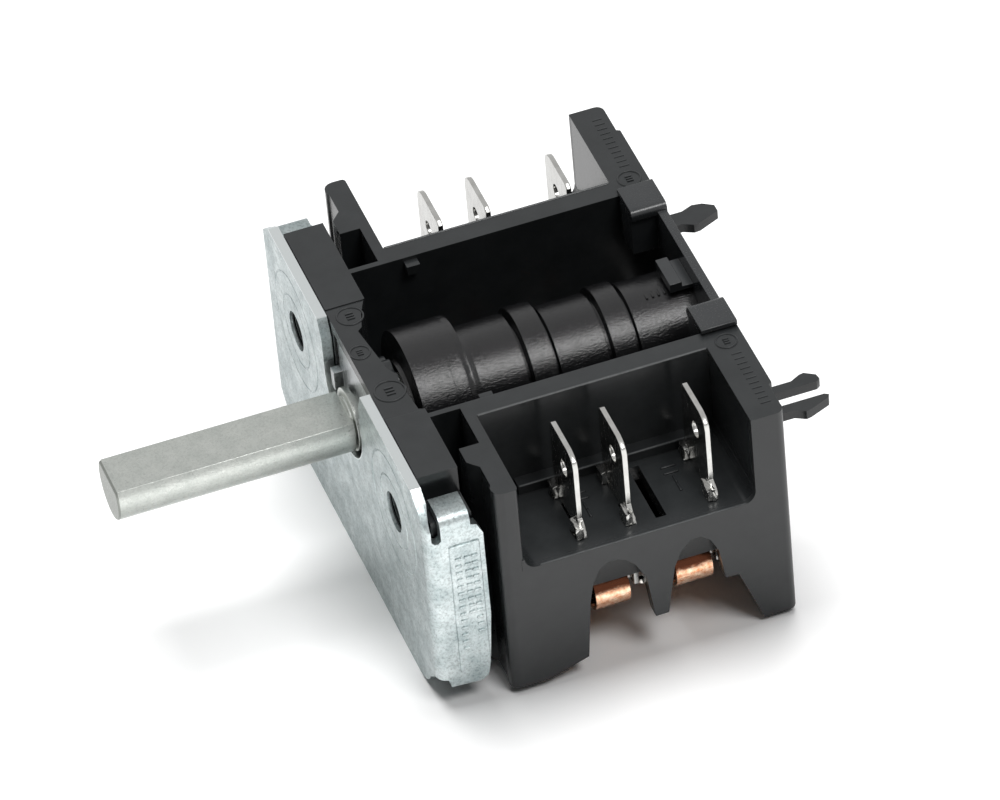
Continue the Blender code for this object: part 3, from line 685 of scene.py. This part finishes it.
class Workshop:
    """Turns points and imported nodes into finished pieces."""

    def __init__(self, frame: dict) -> None:
        """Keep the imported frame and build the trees.
        """
        self.frame = frame
        self.repeats = Repeats()

    def link(self, name: str, mesh: bpy.types.Mesh) -> Piece:
        """Put a mesh into the scene as an object at the origin.

        Args:
            name: Name of the object.
            mesh: Its mesh.

        Returns:
            The object.
        """
        item = bpy.data.objects.new(name, mesh)
        bpy.context.collection.objects.link(item)
        return item

    def copy_node(self, node: str, name: str) -> Piece:
        """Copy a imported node's mesh and merge it into clean faces.

        Args:
            node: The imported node.
            name: Name of the copy.

        Returns:
            The copy, closed and with its flat faces dissolved.
        """
        work = bmesh.new()
        work.from_mesh(self.frame["nodes"][node].data)
        bmesh.ops.remove_doubles(work, verts=work.verts, dist=SAME_POINT)
        bmesh.ops.dissolve_limit(work, angle_limit=math.radians(FLAT_ANGLE), verts=work.verts,
                                 edges=work.edges)
        mesh = bpy.data.meshes.new(name)
        work.to_mesh(mesh)
        work.free()
        return self.link(name, mesh)

    def bake(self, item: Piece) -> Piece:
        """Turn an object with modifiers into a plain mesh.

        Args:
            item: The object to freeze.

        Returns:
            The same object with its modifiers applied and removed.
        """
        graph = bpy.context.evaluated_depsgraph_get()
        mesh = bpy.data.meshes.new_from_object(item.evaluated_get(graph))
        item.modifiers.clear()
        item.data = mesh
        return item

    def repeat(self, name: str, tree: Tree, spots: Sequence[Spot], facing: Facing,
               finish: Finish, **sizes: float) -> Piece:
        """Grow one repeated detail at its places.

        Args:
            name: Name of the piece.
            tree: One of the trees.
            spots: Where the copies sit.
            facing: The way they look.
            finish: Their finish.
            **sizes: The tree's inputs by name, in millimetres but for the number of turns.

        Returns:
            The detail as a plain mesh.
        """
        mesh = bpy.data.meshes.new(name + "_points")
        mesh.from_pydata([place(spot.x, spot.y, spot.z) for spot in spots], [], [])
        for key, values in (("size", [spot.size * MM for spot in spots]),
                            ("turn", [math.radians(spot.turn) for spot in spots])):
            mesh.attributes.new(key, "FLOAT", "POINT").data.foreach_set("value", values)
        item = self.link(name, mesh)
        grower = item.modifiers.new("grow", "NODES")
        grower.node_group = tree
        for key, value in sizes.items():
            grower[socket_name(tree, key)] = value if key == "Turns" else value * MM
        grower[socket_name(tree, "Facing")] = tuple(math.radians(v) for v in facing.value)
        grower[socket_name(tree, "Finish")] = finish.material()
        return self.bake(item)

    def soften(self, item: Piece, width: float, steps: int = 2) -> None:
        """Round the edges of a piece, shade it smooth there and keep its large faces flat.

        Args:
            item: The piece.
            width: Width of the rounding in millimetres, or zero for the shading alone.
            steps: Faces across each rounding.
        """
        if width > 0.0:
            bevel = item.modifiers.new("edge_rounding", "BEVEL")
            bevel.width = width * MM
            bevel.segments = steps
            bevel.limit_method = "ANGLE"
            bevel.angle_limit = math.radians(ROUNDED_ANGLE)
            self.bake(item)
        for polygon in item.data.polygons:
            polygon.use_smooth = True
        item.data.set_sharp_from_angle(angle=math.radians(SHARP_ANGLE))
        flat = item.modifiers.new("flat_faces", "WEIGHTED_NORMAL")
        flat.mode = "FACE_AREA"
        flat.keep_sharp = True
        self.bake(item)

    def cut(self, item: Piece, *cutters: Piece) -> None:
        """Take cutters away from a piece and drop them.

        Args:
            item: The piece.
            *cutters: The closed shapes to take away.
        """
        for cutter in cutters:
            boolean = item.modifiers.new("cut", "BOOLEAN")
            boolean.operation = "DIFFERENCE"
            boolean.solver = "EXACT"
            boolean.object = cutter
            self.bake(item)
            bpy.data.objects.remove(cutter, do_unlink=True)

    def groove_round(self, item: Piece, y: float, width: float, depth: float, bore: float) -> None:
        """Draw a fine groove right round a piece, along its own profile.

        Args:
            item: The piece, which lies along the shaft axis.
            y: Where the groove runs.
            width: Its width.
            depth: Its depth.
            bore: Radius inside which nothing moves.
        """
        work = bmesh.new()
        work.from_mesh(item.data)
        for shift in (-width / 2.0, 0.0, width / 2.0):
            bmesh.ops.bisect_plane(work, geom=work.verts[:] + work.edges[:] + work.faces[:], dist=ON_PLANE,
                                   plane_co=place(0.0, y + shift, 0.0), plane_no=(0.0, 1.0, 0.0))
        middle = place(0.0, y, 0.0)
        for vert in work.verts:
            if abs(vert.co.y - middle.y) < SAME_POINT:
                outward = Vector((vert.co.x - middle.x, 0.0, vert.co.z - middle.z))
                if outward.length > bore * MM:
                    vert.co -= outward.normalized() * depth * MM
        work.to_mesh(item.data)
        work.free()

    def crumple(self, item: Piece, inside: Callable[[Vector], bool], amount: float, facet: float,
                waves: float, seed: int) -> None:
        """Work a region of a piece like metal that a punch has pressed over.

        Args:
            item: The piece.
            inside: Says whether a point, in drawing millimetres, belongs to the region.
            amount: How far a point may move in millimetres.
            facet: Edges longer than this, in millimetres, are split for the dents, twice at most.
            waves: Dents per millimetre.
            seed: Seed of the dents, so that every run gives the same ones.
        """
        noise.seed_set(seed)
        work = bmesh.new()
        work.from_mesh(item.data)
        for _ in range(2):
            edges = [edge for edge in work.edges if edge.calc_length() > facet * MM
                     and all(inside(drawn(vert.co)) for vert in edge.verts)]
            bmesh.ops.subdivide_edges(work, edges=edges, cuts=1, use_grid_fill=True)
        for vert in work.verts:
            spot = drawn(vert.co)
            if inside(spot):
                vert.co += noise.noise_vector(spot * waves) * amount * MM
        curled = [vert for vert in work.verts if inside(drawn(vert.co))]
        bmesh.ops.smooth_vert(work, verts=curled, factor=0.5, use_axis_x=True, use_axis_y=True,
                              use_axis_z=True)
        work.to_mesh(item.data)
        work.free()

    def dress(self, item: Piece, finish: Finish, body: str, nodes: Sequence[str] = ()) -> None:
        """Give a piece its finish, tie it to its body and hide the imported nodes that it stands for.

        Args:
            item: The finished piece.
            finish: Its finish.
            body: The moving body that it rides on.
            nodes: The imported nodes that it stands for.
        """
        item.data.materials.clear()
        item.data.materials.append(finish.material())
        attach(item, body)
        if nodes:
            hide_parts(*nodes)
        LOG.info("%s: %d faces", item.name, len(item.data.polygons))

    def raised_bars(self, name: str, spots: Sequence[Spot], facing: Facing, section: Section, finish: Finish,
                    body: str = BODY) -> None:
        """Make a group of raised bars, round their edges and dress them.

        Args:
            name: Name of the piece.
            spots: Where the bars sit, with their lengths.
            facing: The way they look.
            section: Their section.
            finish: Their finish.
            body: The moving body that they ride on.
        """
        item = self.repeat(name, self.repeats.bars, spots, facing, finish,
                           Width=section.width, Height=section.height)
        self.soften(item, section.edge, section.steps)
        self.dress(item, finish, body)


def both_sides(spots: Iterable[Spot]) -> list[Spot]:
    """Give the spots and their mirror images on the far side."""
    given = list(spots)
    return given + [Spot(-spot.x, spot.y, spot.z, spot.size, -spot.turn) for spot in given]


@dataclass
class MountingBracket:
    """Folded zinc-plated sheet, with pressed rings round its fixing holes and a pad on each flange.

    A row of strokes is its place across the pad, counted from the pad's middle, and its number of
    strokes. The thread is finer than a real M4 thread, so that two turns fit into the thin sheet.
    """

    edge: float = 0.24
    fixing_x: float = 14.0
    fixing_r: float = 2.0
    sheet: float = 1.0
    ring_radii: Pair = (3.7, 6.0)
    ring_line_r: float = 0.11
    flange_x: float = 23.3
    pad_y: Pair = (2.2, 5.2)
    pad_z: Pair = (-13.0, 2.4)
    pad_rise: float = 0.20
    pad_edge: float = 0.16
    stroke_rows: tuple[tuple[float, int], ...] = ((-0.75, 14), (0.15, 9), (0.85, 12))
    stroke_inset: float = 1.6
    stroke_step: float = 0.85
    stroke_length: float = 0.62
    stroke: Section = Section(0.34, 0.26, 0.09)
    thread_pitch: float = 0.3
    thread_depth: float = 0.20

    def build(self, shop: Workshop) -> None:
        """Make the sheet, its pressed rings, the coined pads and the threads.

        Args:
            shop: The workshop that makes the pieces.
        """
        sheet = shop.copy_node("mounting_bracket", "bracket_sheet")
        shop.soften(sheet, self.edge, 3)
        spots = both_sides([Spot(self.fixing_x, 0.0, 0.0, r) for r in self.ring_radii])
        shop.cut(sheet, shop.repeat("ring_cutter", shop.repeats.rings, spots, Facing.FRONT, ZINC,
                                    Wire=self.ring_line_r))
        shop.soften(sheet, 0.0)
        shop.dress(sheet, ZINC, BODY, ["mounting_bracket"])
        self.pads(shop)
        self.threads(shop)

    def pads(self, shop: Workshop) -> None:
        """Make the raised pad on each flange, with plain rows of pressed strokes on it.

        Args:
            shop: The workshop that makes the pieces.
        """
        low, high = self.pad_z
        middle = (low + high) / 2.0
        across = (self.pad_y[0] + self.pad_y[1]) / 2.0
        pad = Section(self.pad_y[1] - self.pad_y[0], 2.0 * self.pad_rise, self.pad_edge, 3)
        for name, side, facing in zip(SIDES, (1.0, -1.0), (Facing.NEAR, Facing.FAR)):
            whole = Spot(side * self.flange_x, across, middle, high - low)
            shop.raised_bars(f"coined_pad_{name}", [whole], facing, pad, ZINC)
            face = side * (self.flange_x + self.pad_rise)
            strokes = [Spot(face, across + row, high - self.stroke_inset - self.stroke_step * step,
                            self.stroke_length, QUARTER_TURN)
                       for row, count in self.stroke_rows for step in range(count)]
            shop.raised_bars(f"pressed_strokes_{name}", strokes, facing, self.stroke, ZINC)

    def threads(self, shop: Workshop) -> None:
        """Make the thread of each fixing hole, inside the sheet's thickness, dark with painted shade.

        Args:
            shop: The workshop that makes the pieces.
        """
        length = self.sheet - 2.0 * self.thread_depth
        spots = both_sides([Spot(self.fixing_x, self.thread_depth, 0.0, length)])
        thread = shop.repeat("fixing_threads", shop.repeats.threads, spots, Facing.REAR, THREAD_SHADE,
                             Radius=self.fixing_r, Depth=self.thread_depth, Turns=length / self.thread_pitch)
        shop.dress(thread, THREAD_SHADE, BODY)


@dataclass
class ShaftLine:
    """D-section shaft, retaining plate and detent parts."""

    edge: float = 0.14
    small_edge: float = 0.08

    def build(self, shop: Workshop) -> None:
        """Make the shaft, its retainer, the wheel and its spring.

        Args:
            shop: The workshop that makes the pieces.
        """
        for node, name, width, finish, body in (
                ("shaft", "d_shaft", self.edge, BAR, ROTOR),
                ("detent_wheel", "wheel_with_notches", self.small_edge, POLYAMIDE, ROTOR),
                ("shaft_retainer", "retaining_plate", self.small_edge, SPRING, BODY),
                ("detent_spring", "detent_leaf", 0.0, SPRING, BODY)):
            item = shop.copy_node(node, name)
            shop.soften(item, width, 3)
            shop.dress(item, finish, body, [node])


@dataclass
class HousingMoulding:
    """Black moulding with trough, pockets and arches.

    A pin is the place of an ejector pin's mark and its radius. The ledge's edge is its place across
    and its height. A bead is the middle and the length of a line of flash. A floor stroke is its
    place across a pocket, its length and its turn.
    """

    edge: float = 0.17
    bridge_z: float = 7.68
    top_z: float = 7.8
    shelf_z: float = -2.1
    bridge_pins: tuple[Triple, ...] = ((-5.2, 3.0, 1.25), (0.1, 2.15, 0.95), (6.4, 2.9, 1.45))
    wall_pins: tuple[Triple, ...] = ((12.9, 33.75, 1.0), (-12.9, 33.75, 1.1))
    pin_line_r: float = 0.10
    pip_steps: Triple = (-0.3, 0.0, 0.3)
    pip_length: float = 0.62
    pip: Section = Section(0.22, 0.22, 0.07)
    rim_x: float = 13.08
    rim_bead: Pair = (20.4, 22.6)
    ledge_edge: Pair = (14.36, -1.09)
    ledge_bead: Pair = (20.4, 16.7)
    shelf_edge_x: float = 24.17
    shelf_bead: Pair = (20.7, 20.4)
    bead_sink: float = 0.03
    bead: Section = Section(0.22, 0.20, 0.09, 3)
    wall_strokes: int = 11
    wall_stroke_at: Pair = (14.9, 34.0)
    wall_stroke_step: float = 0.75
    wall_stroke_length: float = 1.0
    wall_stroke: Section = Section(0.16, 0.10, 0.03)
    floor_groups_y: Pair = (17.1, 26.0)
    floor_strokes: tuple[Triple, ...] = (
        (16.4, 1.5, QUARTER_TURN), (17.3, 1.5, QUARTER_TURN), (18.4, 1.3, 0.0), (19.4, 1.3, 0.0))
    floor_stroke: Section = Section(0.26, 0.30, 0.10, 3)

    def build(self, shop: Workshop) -> None:
        """Make the moulding with softened edges and the marks that the tool leaves.

        Args:
            shop: The workshop that makes the pieces.
        """
        moulding = shop.copy_node("housing", "housing_moulding")
        shop.soften(moulding, self.edge, 3)
        shop.dress(moulding, POLYAMIDE, BODY, ["housing"])
        self.ejector_marks(shop)
        self.flash_lines(shop)
        self.moulded_strokes(shop)

    def ejector_marks(self, shop: Workshop) -> None:
        """Make the witness ring of each ejector pin and the three pips inside it.

        Args:
            shop: The workshop that makes the pieces.
        """
        spots = [Spot(x, y, self.bridge_z, radius) for x, y, radius in self.bridge_pins]
        spots += [Spot(x, y, self.top_z, radius) for x, y, radius in self.wall_pins]
        rings = shop.repeat("ejector_rings", shop.repeats.rings, spots, Facing.UP, POLYAMIDE,
                            Wire=self.pin_line_r)
        shop.dress(rings, POLYAMIDE, BODY)
        pips = [Spot(spot.x + step * spot.size, spot.y, spot.z, self.pip_length * spot.size, QUARTER_TURN)
                for spot in spots for step in self.pip_steps]
        shop.raised_bars("ejector_pips", pips, Facing.UP, self.pip, POLYAMIDE)

    def flash_lines(self, shop: Workshop) -> None:
        """Make the fine beads that the tool's parting leaves along the pocket rims, painted grey as a
        highlight.

        Args:
            shop: The workshop that makes the pieces.
        """
        lines = ((self.rim_x, self.top_z - self.bead_sink, self.rim_bead),
                 (*self.ledge_edge, self.ledge_bead),
                 (self.shelf_edge_x, self.shelf_z - self.bead_sink, self.shelf_bead))
        spots = [Spot(x, middle, z, length, QUARTER_TURN) for x, z, (middle, length) in lines]
        shop.raised_bars("flash_lines", both_sides(spots), Facing.UP, self.bead, FLASH_LINE_HIGHLIGHT)

    def moulded_strokes(self, shop: Workshop) -> None:
        """Make the plain raised strokes on the rear walls and in the pockets.

        Args:
            shop: The workshop that makes the pieces.
        """
        first, y = self.wall_stroke_at
        wall = [Spot(first + self.wall_stroke_step * step, y, self.top_z, self.wall_stroke_length,
                     QUARTER_TURN)
                for step in range(self.wall_strokes)]
        shop.raised_bars("rear_wall_strokes", both_sides(wall), Facing.UP, self.wall_stroke, POLYAMIDE)
        floor = [Spot(x, group, self.shelf_z, length, turn)
                 for group in self.floor_groups_y for x, length, turn in self.floor_strokes]
        shop.raised_bars("pocket_floor_strokes", both_sides(floor), Facing.UP, self.floor_stroke, POLYAMIDE)


@dataclass
class CamDrum:
    """Stepped drum of glossy plastic, with two fine grooves and a row of raised marks."""

    edge: float = 0.12
    grooves_y: tuple[float, ...] = (9.6, 10.9)
    groove_width: float = 0.12
    groove_depth: float = 0.06
    bore_r: float = 4.0
    marks: int = 4
    mark_r: float = 5.28
    mark_angle: float = math.radians(80.0)
    mark_from_y: float = 30.1
    mark_step: float = 0.6
    mark_length: float = 0.9
    mark: Section = Section(0.22, 0.22, 0.06)

    def build(self, shop: Workshop) -> None:
        """Make the drum with its grooves and marks.

        Args:
            shop: The workshop that makes the pieces.
        """
        drum = shop.copy_node("cam_drum", "stepped_drum")
        shop.soften(drum, self.edge, 3)
        for y in self.grooves_y:
            shop.groove_round(drum, y, self.groove_width, self.groove_depth, self.bore_r)
        shop.soften(drum, 0.0)
        shop.dress(drum, ACETAL, ROTOR, ["cam_drum"])
        across = self.mark_r * math.cos(self.mark_angle)
        upward = self.mark_r * math.sin(self.mark_angle)
        spots = [Spot(across, self.mark_from_y + self.mark_step * step, upward, self.mark_length)
                 for step in range(self.marks)]
        shop.raised_bars("drum_marks", spots, Facing.UP, self.mark, ACETAL, ROTOR)


@dataclass
class RearCover:
    """Cover with clips and guide tongue."""

    edge: float = 0.25

    def build(self, shop: Workshop) -> None:
        """Make the cover.

        Args:
            shop: The workshop that makes the pieces.
        """
        cover = shop.copy_node("rear_cover", "rear_bearing_cover")
        shop.soften(cover, self.edge, 3)
        shop.dress(cover, COVER, BODY, ["rear_cover"])


@dataclass
class Terminals:
    """Six tabs of tinned strip with staked feet.

    A stake lies between two distances from the shaft's plane and between two heights.
    """

    edge: float = 0.05
    stakes_x: tuple[Pair, ...] = ((14.85, 16.3), (20.9, 22.6))
    stake_z: Pair = (-2.0, -0.6)
    stake_margin: float = 0.05
    dent: float = 0.27
    dent_facet: float = 0.22
    dents_per_mm: float = 2.3
    dent_seed: int = 2

    def build(self, shop: Workshop) -> None:
        """Make every tab and work its stakes over.

        Args:
            shop: The workshop that makes the pieces.
        """
        for side in SIDES:
            for number in (1, 2, 3):
                node = f"terminal_{side}_{number}"
                tab = shop.copy_node(node, f"tab_{side}_{number}")
                shop.soften(tab, self.edge)
                shop.crumple(tab, self.in_stake, self.dent, self.dent_facet, self.dents_per_mm,
                             self.dent_seed)
                shop.soften(tab, 0.0)
                shop.dress(tab, TIN, BODY, [node])

    def in_stake(self, point: Vector) -> bool:
        """Say whether a point of a tab belongs to one of its stakes.

        Args:
            point: The point in drawing millimetres.

        Returns:
            Whether it does.
        """
        low, high = self.stake_z
        margin = self.stake_margin
        return low < point.z < high and any(
            start - margin <= abs(point.x) <= end + margin for start, end in self.stakes_x)


@dataclass
class Contacts:
    """Copper springs, silver contacts and common strips."""

    edge: float = 0.08
    dot_x: float = 21.6
    dot_z: float = -10.0
    dot_y: Pair = (20.9, 28.9)
    dot_r: float = 0.4
    dot_rise: float = 0.5

    def build(self, shop: Workshop) -> None:
        """Make the springs, the contacts, the strips and the dots on the springs' ends.

        Args:
            shop: The workshop that makes the pieces.
        """
        for side in SIDES:
            for number in (1, 2):
                node = f"contact_spring_{side}_{number}"
                leaf = shop.copy_node(node, f"copper_leaf_{side}_{number}")
                shop.soften(leaf, 0.0)
                shop.dress(leaf, COPPER, BODY, [node])
                for kind in ("fixed", "moving"):
                    node = f"{kind}_contact_{side}_{number}"
                    head = shop.copy_node(node, f"silver_{kind}_{side}_{number}")
                    shop.soften(head, self.edge)
                    shop.dress(head, SILVER, BODY, [node])
            strip = shop.copy_node(f"common_strip_{side}", f"bus_strip_{side}")
            shop.soften(strip, self.edge)
            shop.dress(strip, COPPER, BODY, [f"common_strip_{side}"])
        spots = both_sides([Spot(self.dot_x, y, self.dot_z, self.dot_r) for y in self.dot_y])
        dots = shop.repeat("silver_dots", shop.repeats.domes, spots, Facing.NEAR, SILVER, Rise=self.dot_rise)
        shop.dress(dots, SILVER, BODY)


@dataclass(frozen=True)
class SoftBox:
    """One soft box: its place and size in metres, its power in watts and whether shiny faces show it."""

    name: str
    spot: Triple
    size: Pair
    power: float
    mirrored: bool = True


@dataclass
class Studio:
    """Camera of the photo, pale floor, white tent and two soft boxes.

    The camera's angles are in degrees, its place is in drawing millimetres along its own axes, and
    its focal length is in pixels of the picture. The floor and the tent each have one value for the
    light that falls on other things and others for what the camera and shiny faces see. The floor
    that shiny faces see brightens between two places on the near side, given in metres.
    """

    azimuth: float = 73.814
    elevation: float = 41.059
    roll: float = -5.516
    across: float = 14.509
    upward: float = 1.905
    distance: float = 832.703
    focal_px: float = 8910.517
    picture_px: float = 1000.0
    sensor: float = 36.0
    clip: Pair = (0.01, 20.0)
    aim: Triple = (0.0, 0.0, 0.015)
    boxes: tuple[SoftBox, ...] = (
        SoftBox("near_box", (0.42, 0.19, 0.76), (0.30, 0.30), 2.4),
        SoftBox("overhead_box", (-0.24, 0.02, 0.84), (0.6, 0.6), 8.6, mirrored=False))
    floor_reach: float = 6.0
    floor_lit: str = "#D8D8D8"
    floor_camera: float = 1.07
    floor_mirrored: Pair = (0.93, 1.46)
    floor_mirrored_x: Pair = (0.018, 0.042)
    tent_colour: str = "#FFFFFF"
    tent_lit: float = 0.07
    tent_camera: float = 1.0
    tent_mirrored: float = 0.80

    def axes(self) -> tuple[Vector, Vector, Vector]:
        """Work out the directions of the camera.

        Returns:
            Its right, up and backward directions.
        """
        azimuth, elevation, roll = (math.radians(v) for v in (self.azimuth, self.elevation, self.roll))
        back = Vector((math.sin(azimuth) * math.cos(elevation), -math.cos(azimuth) * math.cos(elevation),
                       math.sin(elevation)))
        level = Vector((math.cos(azimuth), math.sin(azimuth), 0.0))
        upright = back.cross(level)
        right = math.cos(roll) * level + math.sin(roll) * upright
        up = -math.sin(roll) * level + math.cos(roll) * upright
        return right, up, back

    def camera(self) -> None:
        """Set the camera up where the photo was taken from."""
        right, up, back = self.axes()
        spot = right * self.across + up * self.upward + back * self.distance
        lens = bpy.data.cameras.new("photo_camera")
        lens.sensor_width = self.sensor
        lens.lens = self.focal_px * self.sensor / self.picture_px
        lens.clip_start, lens.clip_end = self.clip
        item = bpy.data.objects.new("photo_camera", lens)
        bpy.context.collection.objects.link(item)
        turn = Matrix((right, up, back)).transposed().to_4x4()
        item.matrix_world = Matrix.Translation(place(*spot)) @ turn
        bpy.context.scene.camera = item

    def lamp(self, box: SoftBox) -> None:
        """Hang a soft box that looks at the middle of the switch.

        Args:
            box: The soft box.
        """
        data = bpy.data.lights.new(box.name, "AREA")
        data.shape = "RECTANGLE"
        data.size, data.size_y = box.size
        data.energy = box.power
        item = bpy.data.objects.new(box.name, data)
        bpy.context.collection.objects.link(item)
        item.location = box.spot
        towards = Vector(self.aim) - Vector(box.spot)
        item.rotation_euler = towards.to_track_quat("-Z", "Y").to_euler()
        item.visible_glossy = box.mirrored

    def seen_directly(self, tree: Tree, lit: float, seen: Socket) -> Socket:
        """Keep the light that a surface gives other things apart from what is seen of it.

        Args:
            tree: The node tree of the floor or the tent.
            lit: The value for light that falls on other things.
            seen: The value for the camera, for reflections and for what is seen through a piece.

        Returns:
            The socket with the value.
        """
        rays = add_node(tree, "ShaderNodeLightPath")
        direct = add_node(tree, "ShaderNodeMath", {"operation": "MAXIMUM"}, {
            0: rays.outputs["Is Camera Ray"], 1: rays.outputs["Is Glossy Ray"]})
        all_seen = add_node(tree, "ShaderNodeMath", {"operation": "MAXIMUM"}, {
            0: direct.outputs[0], 1: rays.outputs["Is Transmission Ray"]})
        value = add_node(tree, "ShaderNodeMapRange", {}, {
            "Value": all_seen.outputs[0], "To Min": lit, "To Max": seen})
        return value.outputs["Result"]

    def floor(self) -> None:
        """Lay a plain pale floor that keeps the shadow."""
        made = bpy.data.materials.new("pale_paper_floor")
        made.use_nodes = True
        tree = made.node_tree
        tree.nodes.clear()
        spot = add_node(tree, "ShaderNodeTexCoord").outputs["Object"]
        parts = add_node(tree, "ShaderNodeSeparateXYZ", {}, {0: spot})
        mirrored = add_node(tree, "ShaderNodeMapRange", {"interpolation_type": "SMOOTHSTEP"}, {
            "Value": parts.outputs["X"],
            "From Min": self.floor_mirrored_x[0], "From Max": self.floor_mirrored_x[1],
            "To Min": self.floor_mirrored[0], "To Max": self.floor_mirrored[1]})
        rays = add_node(tree, "ShaderNodeLightPath")
        seen = add_node(tree, "ShaderNodeMix", {"data_type": "FLOAT"}, {
            "Factor": rays.outputs["Is Camera Ray"], VALUE_A: mirrored.outputs["Result"],
            VALUE_B: self.floor_camera})
        white = self.seen_directly(tree, linear(self.floor_lit)[0], seen.outputs[VALUE_OUT])
        paper = add_node(tree, "ShaderNodeBsdfDiffuse", {}, {"Color": white})
        add_node(tree, "ShaderNodeOutputMaterial", {}, {"Surface": paper.outputs["BSDF"]})
        reach = self.floor_reach
        corners = [(-reach, -reach, 0.0), (reach, -reach, 0.0), (reach, reach, 0.0), (-reach, reach, 0.0)]
        mesh = bpy.data.meshes.new("paper_floor")
        mesh.from_pydata(corners, [], [(0, 1, 2, 3)])
        mesh.materials.append(made)
        item = bpy.data.objects.new("paper_floor", mesh)
        bpy.context.collection.objects.link(item)

    def tent(self) -> None:
        """Fill the room with soft light, white to the camera and a little dimmer to shiny faces."""
        world = bpy.data.worlds.new("white_tent")
        world.use_nodes = True
        tree = world.node_tree
        tree.nodes.clear()
        rays = add_node(tree, "ShaderNodeLightPath")
        shown = add_node(tree, "ShaderNodeMapRange", {}, {
            "Value": rays.outputs["Is Camera Ray"], "To Min": self.tent_mirrored, "To Max": self.tent_camera})
        back = add_node(tree, "ShaderNodeBackground", {}, {
            "Color": linear(self.tent_colour),
            "Strength": self.seen_directly(tree, self.tent_lit, shown.outputs["Result"])})
        add_node(tree, "ShaderNodeOutputWorld", {}, {"Surface": back.outputs["Background"]})
        bpy.context.scene.world = world

    def build(self) -> None:
        """Set the whole studio up."""
        bpy.context.scene.view_settings.view_transform = "Standard"
        self.camera()
        self.floor()
        self.tent()
        for box in self.boxes:
            self.lamp(box)


def main() -> None:
    """Build every piece of the switch and the studio round it."""
    logging.basicConfig(level=logging.INFO, format="%(name)s %(message)s")
    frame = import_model()
    shop = Workshop(frame)
    for part in (MountingBracket(), ShaftLine(), HousingMoulding(), CamDrum(), RearCover(), Terminals(),
                 Contacts()):
        part.build(shop)
    Studio().build()


if __name__ == "__main__":
    main()
